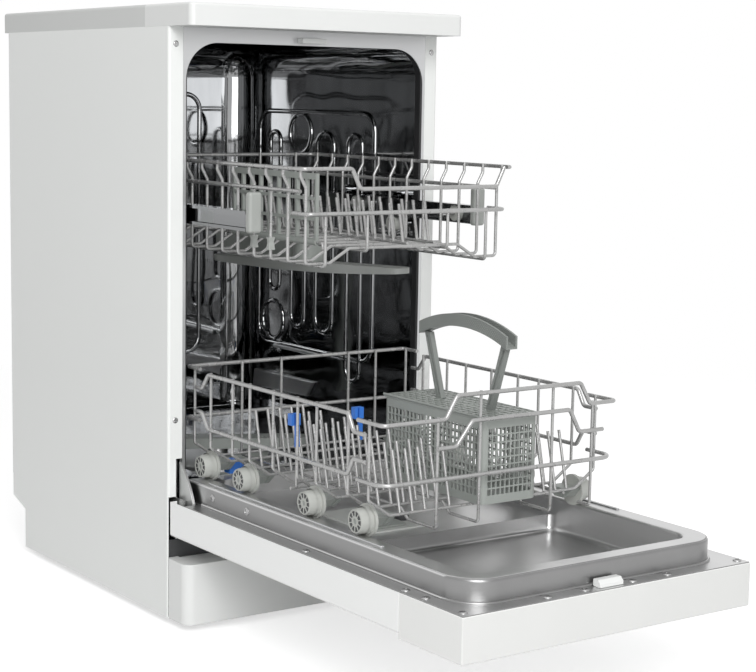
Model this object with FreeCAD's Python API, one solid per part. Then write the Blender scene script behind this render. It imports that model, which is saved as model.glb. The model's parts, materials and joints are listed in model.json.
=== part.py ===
import FreeCAD, Part
import math
import os

V = FreeCAD.Vector

# Slimline free-standing dishwasher with its door open and both racks drawn out.
# Millimetres. +X right, +Y to the back, +Z up. The origin is on the floor,
# under the middle of the worktop's front edge.

# Cabinet
cabinet_width = 448.0
cabinet_half = cabinet_width / 2
cabinet_height = 850.0
worktop_depth = 598.0
worktop_thickness = 30.0
worktop_edge = 4.0
trim_face = 14.0
trim_skin = 3.0
trim_return = 127.0
panel_sheet = 1.5
panel_bend = 4.0
pillar_setback = 60.0
pillar_width = 22.0
panel_back_gap = 18.5
panel_depth = worktop_depth - pillar_setback - panel_back_gap
panel_foot = 8.4
rear_notch_depth = 48.5
rear_notch_low = 70.0
rear_notch_high = 86.7
rear_sheet = 1.0
rear_panel_gap = 2.0
hinge_notch_top = 233.0
hinge_notch_step = 9.5
hinge_notch_foot = 180.0
plinth_top = 94.0
plinth_reach = 49.0
plinth_wall = 3.0
plinth_corner = 15.0
seat_gap = 0.2

# Base and feet
tray_wall = 4.0
tray_floor = 22.0
tray_top = 118.0
tray_front_gap = 6.0
tray_rear_gap = 3.0
foot_pad_radius = 18.0
foot_pad_height = 8.0
foot_stud_radius = 5.0
foot_stud_top = 40.0
foot_inset = 34.0
foot_thread_gap = 0.05
post_half = 10.0

# Tub
tub_side_gap = 21.0
tub_half = cabinet_half - tub_side_gap
tub_sheet = 1.5
tub_roof_gap = 42.0
tub_top = cabinet_height - tub_roof_gap
tub_corner = 50.0
frame_sheet = 2.0
tub_rear_gap = 32.0
tub_depth = worktop_depth - pillar_setback - frame_sheet - tub_rear_gap
tub_foot = 190.0
frame_lip = 5.5
frame_opening_half = tub_half - frame_lip
frame_roof_lip = 8.0
frame_opening_top = tub_top - frame_roof_lip
frame_foot = 182.0
gasket_width = 8.0
gasket_depth = 12.0
floor_sheet = 2.0
pan_floor = 170.0
track_height = 205.0
track_width = 35.0
track_inner_half = tub_half - track_width
strike_half = 20.0
strike_height = 7.0
strike_reach = 13.0

# Wash system
sump_y = 310.0
sump_radius = 92.0
sump_hole_radius = 88.0
sump_depth = 56.0
sump_wall = 4.0
filter_plate_radius = 100.0
filter_plate_thickness = 3.0
micro_filter_radius = 34.0
micro_filter_wall = 3.0
micro_filter_offset = 36.0
micro_filter_depth = 52.0
hub_radius = 8.0
running_gap = 0.05
lower_arm_gap = 28.0
lower_arm_reach = track_inner_half - lower_arm_gap
lower_arm_width = 40.0
lower_arm_thickness = 16.0
lower_arm_rise = 14.0
lower_arm_turn = 62.0
pump_radius = 38.0
pump_x = 70.0
drain_pump_radius = 34.0
drain_pump_x = 10.0
drain_spigot_radius = 10.5
valve_x = 145.0
valve_size = 50.0
inlet_thread_radius = 13.2
spigot_reach = 32.0
spigot_collar = 2.0
spigot_hole_gap = 0.4
softener_x = -112.0
softener_y = 488.0
softener_half_width = 48.0
softener_half_depth = 32.0
salt_neck_radius = 29.7
salt_cap_wall = 4.0
salt_cap_height = 16.0
riser_half = 16.0
riser_depth = 10.0
riser_top = 620.0
dock_height = 520.0
dock_reach = 7.5

# Door, lying open
door_side_gap = 1.0
door_half = cabinet_half - door_side_gap
door_edge = 175.0
door_shell = 48.5
door_sheet = 1.2
door_hinge_end = 55.0
door_reach = 598.0
fascia_length = 118.0
fascia_start = fascia_length - door_reach
fascia_depth = 54.0
fascia_wall = 3.0
door_joint_gap = 0.3
rim_side_gap = 5.0
rim_half = tub_half - rim_side_gap
rim_front_inset = 23.0
rim_back = 50.0
rim_corner = 45.0
well_front_inset = 27.0
well_back_inset = 28.0
well_floor = 180.0
well_corner = 24.0
basin_floor = 158.0
basin_back = -288.0
basin_corner = 10.0
hinge_y = 46.0
hinge_z = 168.0
hinge_pin_radius = 5.0
hinge_arm_gap = 1.0
hinge_arm_inner = tub_half + hinge_arm_gap
hinge_arm_thickness = 4.0
hinge_arm_length = 150.0
hinge_slot_length = 30.0
hinge_plate_thickness = 2.8
spring_radius = 7.0
spring_length = 140.0
spring_setback = 54.0
latch_half = 18.0
latch_heel = 2.5
latch_height = 9.0
button_radius = 8.0
button_gap = 0.2
button_inset = 73.0
button_x = door_half - button_inset
button_end_gap = 58.0
button_y = button_end_gap - door_reach
grip_half = 70.0
grip_width = 30.0
grip_depth = 12.0
dispenser_x = -59.0
dispenser_y = -195.0
dispenser_half_width = 45.0
dispenser_half_length = 65.0
dispenser_flange = 3.0
dispenser_depth = 30.0
dispenser_fit = 0.4
cup_half_width = 24.0
cup_half_length = 29.0
cup_depth = 22.0
lid_thickness = 2.6
rinse_cap_radius = 10.0
rinse_cap_height = 5.0

# Wire stock
rim_wire = 2.4
rack_wire = 1.7
weld_gap = 0.1

# Upper rack
upper_side_gap = 36.0
upper_rim_half = tub_half - upper_side_gap
upper_step = 12.5
upper_wall_half = upper_rim_half - upper_step
upper_rim_z = 640.0
upper_second_z = 611.0
upper_front_rim_z = 583.0
upper_dip_z = 614.0
upper_floor_z = 519.0
upper_ridge_z = 537.0
upper_ridge_inset = 66.5
upper_ridge_half = upper_wall_half - upper_ridge_inset
upper_slope_run = 30.0
upper_front = -185.0
upper_back = 300.0
upper_corner = 18.0
upper_dip_left_inset = 87.0
upper_dip_left = upper_dip_left_inset - upper_rim_half
upper_dip_right_inset = 24.0
upper_dip_right = upper_rim_half - upper_dip_right_inset
upper_wire_count = 12
upper_first_wire = 13.0
upper_wire_pitch = 41.5
upper_rail_inset = 24.5
upper_rail_x = upper_wall_half - upper_rail_inset
upper_inner_rail_x = 65.0
upper_tine_x = 50.0
upper_tine_count = 14
upper_tine_pitch = 26.0
upper_tine_height = 52.0
upper_tine_lean = 8.0

# Upper rack rails and rollers
rail_side_gap = 9.0
rail_inner = upper_rim_half + rail_side_gap
rail_depth = 12.0
rail_height = 26.0
rail_middle_z = 569.0
rail_sheet = 1.5
rail_groove = 3.0
rail_curl = 4.0
rail_front = -88.0
rail_length = 400.0
cap_length = 12.0
cap_over = 2.0
cap_skin = 1.0
cap_rise = 25.0
peg_radius = 3.0
rack_roller_width = 7.5
rail_play = 0.1
tub_roller_radius = 12.0
tub_roller_width = 10.0
tub_roller_y = 105.0
stud_radius = 4.0
guide_radius = 6.0
guide_gap = 0.3
rear_guide_y = 230.0

# Upper spray arm
upper_arm_y = 57.0
upper_arm_gap = 39.0
upper_arm_reach = tub_half - upper_arm_gap
upper_arm_width = 34.0
upper_arm_thickness = 14.0
upper_arm_turn = 23.0
manifold_half = 14.0
manifold_back = 294.0
manifold_height = 36.0
upper_hub_radius = 7.0

# Cup shelf
shelf_inset = 54.0
shelf_x = shelf_inset - upper_wall_half
shelf_rod_z = 541.0
shelf_back = 95.0
shelf_front = -117.0
shelf_height = 90.0
shelf_thickness = 5.0
shelf_bar = 4.0
shelf_columns = 9
shelf_rows = 3

# Lower rack
lower_side_gap = 19.0
lower_half = tub_half - lower_side_gap
lower_rim_z = 353.0
lower_dip_z = 332.0
lower_rear_rim_z = 358.0
lower_second_z = 278.0
lower_second_high_z = 299.0
lower_rear_second_z = 287.0
lower_front_rim_z = 348.0
lower_front_high_z = 376.0
lower_front_second_z = 313.0
lower_front_second_high_z = 343.0
lower_front_third_z = 254.0
lower_floor_z = 230.0
lower_bend_z = 252.0
lower_foot_inset = 36.0
lower_foot_half = lower_half - lower_foot_inset
lower_front = -390.0
lower_back = 75.0
lower_corner = 22.0
lower_rear_corner = 5.0
lower_toe_z = 214.0
wheel_radius = 17.5
wheel_flange_radius = 20.5
wheel_face_radius = 14.5
wheel_seat = 6.0
wheel_outer = lower_half
wheel_tread = 15.0
wheel_flange = 4.0
wheel_clearance = 0.1
flange_play = 2.0
wheel_spokes = 10
wheel_wall = 1.6
axle_radius = 3.5
wheel_y = (42.0, -60.0, -220.0, -334.0)
wheel_wire_offset = 22.0
middle_wire_y = -140.0
lower_rail_inset = 84.0
lower_rail_x = (lower_rail_inset - lower_half, -35.0, 81.0, lower_foot_half)
tine_height = 74.0
tine_lean = 18.0
tine_pitch = 19.0
tine_left_inset = 51.0
tine_left_x = tine_left_inset - lower_half
tine_left_count = 5
tine_right_inset = 88.0
tine_right_x = lower_half - tine_right_inset
tine_right_count = 3
fold_rod_y = -167.0
fold_rod_wire = 2.0
fold_rod_half = 65.0
fold_tine_count = 3
fold_clip_x = (-165.0, -66.5)
clip_width = 5.0
clip_head = 14.0
clip_head_depth = 9.0
clip_head_height = 15.0
clip_height = 97.0
clip_slot = 2.5
foot_length = 20.0
foot_step = 12.0
foot_depth = 16.0
foot_low_z = 209.0

# Cutlery basket
basket_left = -25.0
basket_right = 65.0
basket_front = -378.0
basket_back = -168.0
basket_height = 110.0
basket_wall = 2.4
basket_rim = 11.0
basket_gap = 0.4
basket_long_cells = 20
basket_end_cells = 8
basket_cell_rows = 10
basket_bar = 2.2
lid_columns = 4
lid_rows = 15
lid_bead = 1.6
lid_split_x = 17.0
basket_lid = 4.0
handle_x = 21.0
handle_width = 7.0
handle_grip_width = 18.0
handle_grip_height = 16.0
handle_wall = 3.0
handle_rise = 116.0
handle_sag = 18.5
handle_front = -374.0
handle_rear = -193.0
handle_stem = 11.0

# Screws
screw_radius = 3.2
screw_head = 1.6
pillar_screw_radius = 4.2
pillar_screw_drop = 53.0
pillar_screw_z = (cabinet_height - pillar_screw_drop, 287.0)
door_screw_inset = (327.0, 119.0, 81.0, 13.0)
door_side_screw_y = tuple(inset - door_reach for inset in door_screw_inset)
door_end_screw_x = (-93.0, -37.0, 37.0, 93.0)
rim_screw_y = (-17.0, -106.0)


def block(x, y, z):
    """A box between two limits on each axis, given in either order."""
    low = V(min(x), min(y), min(z))
    return Part.makeBox(abs(x[1] - x[0]), abs(y[1] - y[0]), abs(z[1] - z[0]), low)


def rod(start, end, radius):
    """A round bar between two points."""
    run = V(*end) - V(*start)
    return Part.makeCylinder(radius, run.Length, V(*start), run)


def across(x, y, z, radius):
    """A round bar along X between two limits."""
    return rod((x[0], y, z), (x[1], y, z), radius)


def along(x, y, z, radius):
    """A round bar along Y between two limits."""
    return rod((x, y[0], z), (x, y[1], z), radius)


def upright(x, y, z, radius):
    """A round bar along Z between two limits."""
    return rod((x, y, z[0]), (x, y, z[1]), radius)


def sleeve(start, end, radius, bore):
    """A round bar with a hole through it."""
    run = (V(*end) - V(*start)).normalize()
    return rod(start, end, radius).cut(rod(V(*start) - run, V(*end) + run, bore))


def wire_path(points, bend):
    """The edges of a wire's centre line, with an arc at each corner."""
    knots = [V(*point) for point in points]
    edges = []
    last = knots[0]
    for before, corner, after in zip(knots, knots[1:], knots[2:]):
        back = (before - corner).normalize()
        ahead = (after - corner).normalize()
        half = math.acos(back.dot(ahead)) / 2
        start = corner + back * (bend / math.tan(half))
        end = corner + ahead * (bend / math.tan(half))
        middle = corner + (back + ahead).normalize() * (bend / math.sin(half) - bend)
        edges.append(Part.LineSegment(last, start).toShape())
        edges.append(Part.Arc(start, middle, end).toShape())
        last = end
    return edges + [Part.LineSegment(last, knots[-1]).toShape()]


def bent_wire(points, radius, bend):
    """A round wire through the points, in one piece."""
    circle = Part.makeCircle(radius, V(*points[0]), V(*points[1]) - V(*points[0]))
    return Part.Wire(wire_path(points, bend)).makePipeShell([Part.Wire(circle)], True, False)


def welded_wire(points, radius, bend):
    """A round wire through the points, as straight lengths and bends welded end to end."""
    lengths = []
    for edge in wire_path(points, bend):
        start = edge.FirstParameter
        circle = Part.makeCircle(radius, edge.valueAt(start), edge.tangentAt(start))
        lengths.append(Part.Wire([edge]).makePipeShell([Part.Wire(circle)], True, False))
    return lengths


def outline_face(points):
    """A flat face inside a closed outline of straight edges."""
    return Part.Face(Part.makePolygon(points + points[:1]))


def side_plate(outline, x):
    """A plate whose outline lies in YZ, between two X limits."""
    face = outline_face([V(x[0], y, z) for y, z in outline])
    return face.extrude(V(x[1] - x[0], 0, 0))


def arch(half, top, foot, corner, y):
    """A plate with two round upper corners, between two Y limits."""
    turn = corner * (1 - math.sqrt(0.5))
    left, right = -half, half
    corners = [
        V(left, y[0], foot), V(left, y[0], top - corner), V(left + corner, y[0], top),
        V(right - corner, y[0], top), V(right, y[0], top - corner), V(right, y[0], foot),
    ]
    left_middle = V(left + turn, y[0], top - turn)
    right_middle = V(right - turn, y[0], top - turn)
    edges = [
        Part.LineSegment(corners[0], corners[1]).toShape(),
        Part.Arc(corners[1], left_middle, corners[2]).toShape(),
        Part.LineSegment(corners[2], corners[3]).toShape(),
        Part.Arc(corners[3], right_middle, corners[4]).toShape(),
        Part.LineSegment(corners[4], corners[5]).toShape(),
        Part.LineSegment(corners[5], corners[0]).toShape(),
    ]
    return Part.Face(Part.Wire(edges)).extrude(V(0, y[1] - y[0], 0))


def round_edges(solid, radius, axis, chosen=lambda middle: True):
    """The solid with the edges along one axis rounded, where chosen picks their middles."""
    edges = []
    for edge in solid.Edges:
        run = edge.Vertexes[-1].Point - edge.Vertexes[0].Point
        if run.Length > 0 and abs(run.normalize().dot(axis)) > 0.999 and chosen(edge.CenterOfMass):
            edges.append(edge)
    return solid.makeFillet(radius, edges)


def fused(first, *others):
    """One solid from several that overlap or share faces."""
    return first.multiFuse(list(others)).removeSplitter()


def save(node, *shapes):
    """One STEP file with every solid of a piece."""
    solids = [solid for shape in shapes for solid in shape.Solids]
    whole = solids[0] if len(solids) == 1 else Part.makeCompound(solids)
    whole.exportStep("parts/%s.step" % node)


X_AXIS = V(1, 0, 0)
Y_AXIS = V(0, 1, 0)
Z_AXIS = V(0, 0, 1)
BOTH_SIDES = (-1, 1)
os.makedirs("parts", exist_ok=True)

# Shared places
worktop_under = cabinet_height - worktop_thickness
pillar_y = pillar_setback
panel_back = pillar_y + panel_depth
pillar_inner = cabinet_half - pillar_width
panel_inner = cabinet_half - panel_sheet
tub_front = pillar_y + frame_sheet
tub_back = tub_front + tub_depth

# Worktop board and its front trim
board = block((-cabinet_half, cabinet_half), (0, worktop_depth), (worktop_under, cabinet_height))
board = round_edges(board, worktop_edge * 2, Z_AXIS)
board = round_edges(board, worktop_edge, X_AXIS, lambda middle: middle.z > worktop_under + 1)
trim_hollow = block(
    (trim_skin - cabinet_half, cabinet_half - trim_skin),
    (trim_face, trim_return),
    (worktop_under, cabinet_height),
)
trim_zone = block((-cabinet_half, cabinet_half), (0, trim_return), (worktop_under, cabinet_height))
trim_zone = trim_zone.cut(trim_hollow)
save("worktop_front_trim", board.common(trim_zone))
save("worktop", board.cut(trim_zone))

# Side panels: one sheet with a front pillar return and a rear return
hinge_notch_inner = pillar_inner + hinge_notch_step
for side, name in zip(BOTH_SIDES, ("left_side_panel", "right_side_panel")):
    panel_x = (side * pillar_inner, side * cabinet_half)
    skin = block(panel_x, (pillar_y, panel_back), (panel_foot, worktop_under))
    skin = round_edges(skin, panel_bend, Z_AXIS, lambda middle: abs(middle.x) > pillar_inner + 1)
    hollow = block(
        (side * (pillar_inner - 1), side * panel_inner),
        (pillar_y + panel_sheet, panel_back - panel_sheet),
        (panel_foot - 1, worktop_under + 1),
    )
    inner_bend = panel_bend - panel_sheet
    hollow = round_edges(hollow, inner_bend, Z_AXIS, lambda middle: abs(middle.x) > pillar_inner + 1)
    notch_front = panel_back - rear_notch_depth
    rear_notch = side_plate(
        [
            (notch_front, 0),
            (panel_back + 1, 0),
            (panel_back + 1, rear_notch_high),
            (notch_front, rear_notch_low),
        ],
        (-cabinet_half - 1, cabinet_half + 1),
    )
    front_band = (pillar_y - 1, pillar_y + panel_bend + 1)
    step = block((side * (pillar_inner - 1), side * hinge_notch_inner), front_band, (0, hinge_notch_top))
    foot_cut = block((side * (pillar_inner - 1), side * panel_inner), front_band, (0, hinge_notch_foot))
    save(name, skin.cut(hollow).cut(rear_notch).cut(step).cut(foot_cut))

# Rear panel
rear_foot = tray_top + rear_panel_gap
rear_y = (panel_back, panel_back + rear_sheet)
rear = block((-panel_inner, panel_inner), rear_y, (rear_foot, worktop_under - 2))
save("rear_panel", rear)

# Base tray with posts for the tub, holes for the feet and for the two spigots
tray_front = pillar_y + tray_front_gap
tray_rear = panel_back - rear_notch_depth - tray_rear_gap
tray_inside = tray_floor + tray_wall
tray_half = panel_inner
tray = block((-tray_half, tray_half), (tray_front, tray_rear), (tray_floor, tray_top))
tray = tray.cut(block(
    (tray_wall - tray_half, tray_half - tray_wall),
    (tray_front + tray_wall, tray_rear - tray_wall),
    (tray_inside, tray_top + 1),
))
pan_under = pan_floor - floor_sheet
foot_places = []
for side in BOTH_SIDES:
    for y in (tray_front + foot_inset, tray_rear - foot_inset):
        foot_places.append((side * (tray_half - foot_inset), y))
    post_x = side * (track_inner_half - 2 * post_half)
    for y in (tray_front + 2 * post_half, softener_y - softener_half_depth - 2 * post_half):
        tray = tray.fuse(block(
            (post_x - post_half, post_x + post_half),
            (y - post_half, y + post_half),
            (tray_inside, pan_under - seat_gap),
        ))
# Anchor tabs of the door springs
spring_x = (tub_half + tub_sheet + panel_inner) / 2
spring_front = tray_front + spring_setback
spring_back = spring_front + spring_length
spring_z = tray_top + spring_radius + 2
for side in BOTH_SIDES:
    tray = tray.fuse(block(
        (side * (tray_half - tray_wall), side * (spring_x - spring_radius)),
        (spring_back, spring_back + tray_wall),
        (tray_top - 2 * tray_wall, spring_z + spring_radius),
    ))
    tray = tray.fuse(block(
        (side * tray_half, side * (tray_half - tray_wall)),
        (spring_back, spring_back + tray_wall),
        (tray_top - 1, spring_z + spring_radius),
    ))
for x, y in foot_places:
    tray = tray.cut(upright(x, y, (0, tray_inside + 1), foot_stud_radius + foot_thread_gap))
drain_z = tray_inside + drain_pump_radius
valve_z = tray_inside + valve_size
for x, z, radius in ((drain_pump_x, drain_z, drain_spigot_radius), (valve_x, valve_z, inlet_thread_radius)):
    hole_radius = radius + spigot_collar + spigot_hole_gap
    hole = along(x, (tray_rear - tray_wall - 1, tray_rear + 1), z, hole_radius)
    tray = tray.cut(hole)
save("base_tray", tray.removeSplitter())

# Levelling feet
feet = []
for x, y in foot_places:
    pad = upright(x, y, (0, foot_pad_height), foot_pad_radius)
    stud = upright(x, y, (foot_pad_height, foot_stud_top), foot_stud_radius)
    feet.append(fused(pad, stud))
save("levelling_feet", *feet)

# Plinth in front of the base
plinth_front = pillar_y - plinth_reach
plinth_limit = pillar_y - seat_gap
plinth = block((-door_half, door_half), (plinth_front, plinth_limit), (panel_foot, plinth_top))
plinth = round_edges(plinth, plinth_corner, Z_AXIS, lambda middle: middle.y < plinth_front + 1)
hollow = block(
    (plinth_wall - door_half, door_half - plinth_wall),
    (plinth_front + plinth_wall, plinth_limit + 1),
    (panel_foot - 1, plinth_top - plinth_wall),
)
inner_corner = plinth_corner - plinth_wall
hollow = round_edges(hollow, inner_corner, Z_AXIS, lambda middle: middle.y < plinth_front + plinth_wall + 1)
plinth = plinth.cut(hollow)
tab_outer = door_half - plinth_wall
for side in BOTH_SIDES:
    plinth = fused(plinth, block(
        (side * (tab_outer - plinth_corner), side * tab_outer),
        (plinth_limit - plinth_wall, tray_front - seat_gap),
        (tray_floor + plinth_wall, plinth_top),
    ))
save("plinth", plinth)

# Tub front frame
frame_y = (pillar_y, tub_front)
frame_half = pillar_inner - seat_gap
frame = block((-frame_half, frame_half), frame_y, (frame_foot, worktop_under - seat_gap))
cut_y = (pillar_y - 1, tub_front + 1)
frame = frame.cut(arch(frame_opening_half, frame_opening_top, frame_foot - 1, tub_corner, cut_y))
save("tub_front_frame", frame)

# Tub wrapper, and the studs of the rail rollers and the rail guides riveted to its walls
tub_y = (tub_front, tub_back)
wrapper = arch(tub_half + tub_sheet, tub_top + tub_sheet, tub_foot, tub_corner + tub_sheet, tub_y)
wrapper = wrapper.cut(arch(tub_half, tub_top, tub_foot - 1, tub_corner, (tub_front - 1, tub_back + 1)))
rail_low = rail_middle_z - rail_height / 2
rail_high = rail_middle_z + rail_height / 2
rail_outer = rail_inner + rail_depth
roller_inner = rail_inner + 1
roller_outer = roller_inner + tub_roller_width
roller_z = rail_low - rail_play - tub_roller_radius
low_guide_z = rail_low - guide_gap - guide_radius
high_guide_z = rail_high + guide_gap + guide_radius
stud_root = tub_half
studs = []
for side in BOTH_SIDES:
    studs += [
        across((side * rail_inner, side * stud_root), tub_roller_y, roller_z, stud_radius),
        across((side * rail_inner, side * stud_root), tub_roller_y, high_guide_z, guide_radius),
        across((side * rail_inner, side * stud_root), rear_guide_y, low_guide_z, guide_radius),
        across((side * rail_inner, side * stud_root), rear_guide_y, high_guide_z, guide_radius),
    ]
save("tub_wrapper", wrapper, *studs)

# Tub rear wall
rear_wall_y = (tub_back, tub_back + tub_sheet)
rear_wall = arch(tub_half + tub_sheet, tub_top + tub_sheet, tub_foot, tub_corner + tub_sheet, rear_wall_y)
save("tub_rear_wall", rear_wall)

# Tub floor: two raised tracks and a sunken pan
pan_half = track_inner_half + floor_sheet
slot_floor = track_height - (wheel_flange_radius - wheel_radius) - flange_play
floor = block((-pan_half, pan_half), tub_y, (pan_under, pan_floor))
walls = []
for side in BOTH_SIDES:
    walls.append(block((side * track_inner_half, side * pan_half), tub_y, (pan_under, track_height)))
    track_x = (side * track_inner_half, side * tub_half)
    walls.append(block(track_x, tub_y, (track_height - floor_sheet, track_height)))
for y in ((tub_front, tub_front + floor_sheet), (tub_back - floor_sheet, tub_back)):
    walls.append(block((-pan_half, pan_half), y, (pan_under, slot_floor)))
floor = fused(floor, *walls)
floor = floor.cut(upright(0, sump_y, (pan_under - 1, pan_floor + 1), sump_hole_radius))
neck_hole = salt_neck_radius + seat_gap
floor = floor.cut(upright(softener_x, softener_y, (pan_under - 1, pan_floor + 1), neck_hole))
save("tub_floor", floor)

# Door gasket round the tub mouth
gasket_y = (tub_front, tub_front + gasket_depth)
gasket = arch(tub_half, tub_top, track_height, tub_corner, gasket_y)
gasket_inner = tub_half - gasket_width
gasket_cut_y = (tub_front - 1, tub_front + gasket_depth + 1)
gasket_corner = tub_corner - gasket_width
gasket = gasket.cut(arch(gasket_inner, tub_top - gasket_width, track_height - 1, gasket_corner, gasket_cut_y))
save("door_gasket", gasket)

# Latch strike over the tub mouth
strike_z = (worktop_under + frame_opening_top) / 2 - strike_height
strike_y = (pillar_y - strike_reach, pillar_y)
strike = block((-strike_half, strike_half), strike_y, (strike_z, strike_z + strike_height))
slot = block(
    (-strike_half / 2, strike_half / 2),
    (pillar_y - strike_reach * 0.7, pillar_y - strike_reach * 0.3),
    (strike_z - 1, strike_z + strike_height + 1),
)
save("latch_strike", strike.cut(slot))

# Hinge plates with their pins, on the cabinet
plate_inner = hinge_arm_inner + hinge_arm_thickness + 2 * button_gap
plate_outer = plate_inner + hinge_plate_thickness
ear = 2 * hinge_pin_radius
plates = []
for side in BOTH_SIDES:
    x = (side * plate_inner, side * plate_outer)
    tongue = block(x, (hinge_y - ear, spring_front), (hinge_z - ear, hinge_z + ear))
    web = block(x, (tub_front, spring_front), (spring_z - spring_radius, hinge_notch_top - 3))
    pin = across((side * hinge_arm_inner, side * plate_inner), hinge_y, hinge_z, hinge_pin_radius)
    plates.append(fused(tongue, web, pin))
save("hinge_plates", *plates)

# Door springs behind the side panels
springs = []
for side in BOTH_SIDES:
    start = (side * spring_x, spring_front + seat_gap, spring_z)
    end = (side * spring_x, spring_back - seat_gap, spring_z)
    springs.append(rod(start, end, spring_radius))
save("door_springs", *springs)

# Sump bowl under the tub floor
sump_top = pan_under - seat_gap
sump_low = sump_top - sump_depth
sump = upright(0, sump_y, (sump_low, sump_top), sump_radius)
sump = sump.cut(upright(0, sump_y, (sump_low + sump_wall, sump_top + 1), sump_hole_radius))
save("sump", sump)

# Filter plate with the lower arm's hub pin
plate_top = pan_floor + filter_plate_thickness
micro_x = micro_filter_offset
micro_y = sump_y - micro_filter_offset
arm_low = plate_top + lower_arm_rise
arm_top = arm_low + lower_arm_thickness
strainer = upright(0, sump_y, (pan_floor, plate_top), filter_plate_radius)
strainer = strainer.cut(upright(micro_x, micro_y, (pan_floor - 1, plate_top + 1), micro_filter_radius))
shoulder = upright(0, sump_y, (plate_top, arm_low - seat_gap), 2 * hub_radius)
hub = upright(0, sump_y, (plate_top, arm_top), hub_radius)
save("filter_plate", fused(strainer, shoulder, hub))

# Micro filter: a cup with a grip bar
micro_outer = micro_filter_radius - running_gap
micro_low = plate_top - micro_filter_depth
micro = upright(micro_x, micro_y, (micro_low, plate_top), micro_outer)
micro_bore = micro_outer - micro_filter_wall
micro = micro.cut(upright(micro_x, micro_y, (micro_low + micro_filter_wall, plate_top + 1), micro_bore))
bar = block(
    (micro_x - micro_bore - 1, micro_x + micro_bore + 1),
    (micro_y - micro_filter_wall, micro_y + micro_filter_wall),
    (plate_top - 3 * micro_filter_wall, plate_top + lower_arm_rise / 2),
)
bar = bar.common(upright(micro_x, micro_y, (0, cabinet_height), micro_outer))
save("micro_filter", fused(micro, bar))


def spray_arm(reach, width, low, high, hub_bore, centre_y, turn):
    """A flat two-ended arm with round tips, a hub boss and rows of jet holes."""
    arm = block((-width / 2, width / 2), (-reach + width / 2, reach - width / 2), (low, high))
    tips = [upright(0, side * (reach - width / 2), (low, high), width / 2) for side in BOTH_SIDES]
    arm = fused(arm, *tips)
    arm = arm.cut(upright(0, 0, (low - 1, high + 1), hub_bore))
    for side in BOTH_SIDES:
        for step in (0.35, 0.55, 0.75, 0.92):
            y = side * step * (reach - width / 4)
            jet = upright(side * width / 6, y, (high - width / 8, high + 1), width / 14)
            arm = arm.cut(jet)
    arm.rotate(V(0, 0, 0), Z_AXIS, turn)
    arm.translate(V(0, centre_y, 0))
    return arm


save("lower_spray_arm", spray_arm(
    lower_arm_reach, lower_arm_width, arm_low, arm_top, hub_radius + running_gap, sump_y, lower_arm_turn))

# Circulation pump and drain pump on the tray floor
pump_z = tray_inside + pump_radius
volute_back = sump_y - pump_radius
volute_front = volute_back - 0.7 * pump_radius
motor_front = volute_front - 2.6 * pump_radius
motor = along(pump_x, (motor_front, volute_front), pump_z, 0.88 * pump_radius)
volute = along(pump_x, (volute_front, volute_back), pump_z, pump_radius)
throat = 0.35 * pump_radius
throat_y = volute_back - throat
circulation = fused(motor, volute, upright(pump_x, throat_y, (pump_z, sump_low - seat_gap), throat - 1))
drain_front = sump_y + sump_radius + drain_pump_radius / 2
drain_back = drain_front + 1.4 * drain_pump_radius
drain_body = along(drain_pump_x, (drain_front, drain_back), drain_z, drain_pump_radius)
spigot_tip = tray_rear + spigot_reach
collar_end = tray_rear + spigot_collar
drain_collar_radius = drain_spigot_radius + spigot_collar
drain_collar = along(drain_pump_x, (drain_back, collar_end), drain_z, drain_collar_radius)
drain_pipe = along(drain_pump_x, (drain_back, spigot_tip), drain_z, drain_spigot_radius)
save("wash_and_drain_pumps", circulation, fused(drain_body, drain_collar, drain_pipe))

# Inlet valve behind the tray's rear wall
valve_back = tray_rear - tray_wall - seat_gap
valve_low = tray_inside
valve_body = block(
    (valve_x - valve_size / 2, valve_x + valve_size / 2),
    (valve_back - valve_size, valve_back),
    (valve_low, valve_z + valve_size / 2),
)
valve_collar_radius = inlet_thread_radius + spigot_collar
valve_collar = along(valve_x, (valve_back - 1, collar_end), valve_z, valve_collar_radius)
valve_pipe = along(valve_x, (valve_back - 1, spigot_tip), valve_z, inlet_thread_radius)
valve_bore = along(valve_x, (valve_back, spigot_tip + 1), valve_z, inlet_thread_radius * 0.7)
save("inlet_valve", fused(valve_body, valve_collar, valve_pipe).cut(valve_bore))

# Water softener tank and its salt cap
neck_top = pan_floor + salt_cap_height - salt_cap_wall - seat_gap
tank = block(
    (softener_x - softener_half_width, softener_x + softener_half_width),
    (softener_y - softener_half_depth, softener_y + softener_half_depth),
    (tray_inside, pan_under - seat_gap),
)
neck = upright(softener_x, softener_y, (tray_inside, neck_top), salt_neck_radius)
tank_bore_z = (tray_inside + salt_cap_wall, neck_top + 1)
tank_bore = upright(softener_x, softener_y, tank_bore_z, salt_neck_radius - salt_cap_wall)
save("softener_tank", fused(tank, neck).cut(tank_bore))
cap_bore = salt_neck_radius + running_gap
cap_top = pan_floor + salt_cap_height
cap_low = pan_floor + seat_gap
cap = upright(softener_x, softener_y, (cap_low, cap_top), cap_bore + salt_cap_wall)
cap = cap.cut(upright(softener_x, softener_y, (cap_low - 1, cap_top - salt_cap_wall), cap_bore))
cap_grip = block(
    (softener_x - cap_bore, softener_x + cap_bore),
    (softener_y - salt_cap_wall, softener_y + salt_cap_wall),
    (cap_top - 1, cap_top + salt_cap_wall),
)
save("salt_cap", fused(cap, cap_grip))

# Riser on the tub's rear wall, with the dock for the upper rack's manifold
riser_y = (tub_back - riser_depth, tub_back - seat_gap)
riser = block((-riser_half, riser_half), riser_y, (track_height + seat_gap, riser_top))
riser = round_edges(riser, riser_depth / 3, Z_AXIS, lambda middle: middle.y < tub_back - riser_depth + 1)
dock = along(0, (tub_back - riser_depth - dock_reach, tub_back - riser_depth / 2), dock_height, riser_half)
save("feed_pipe", fused(riser, dock))

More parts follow.
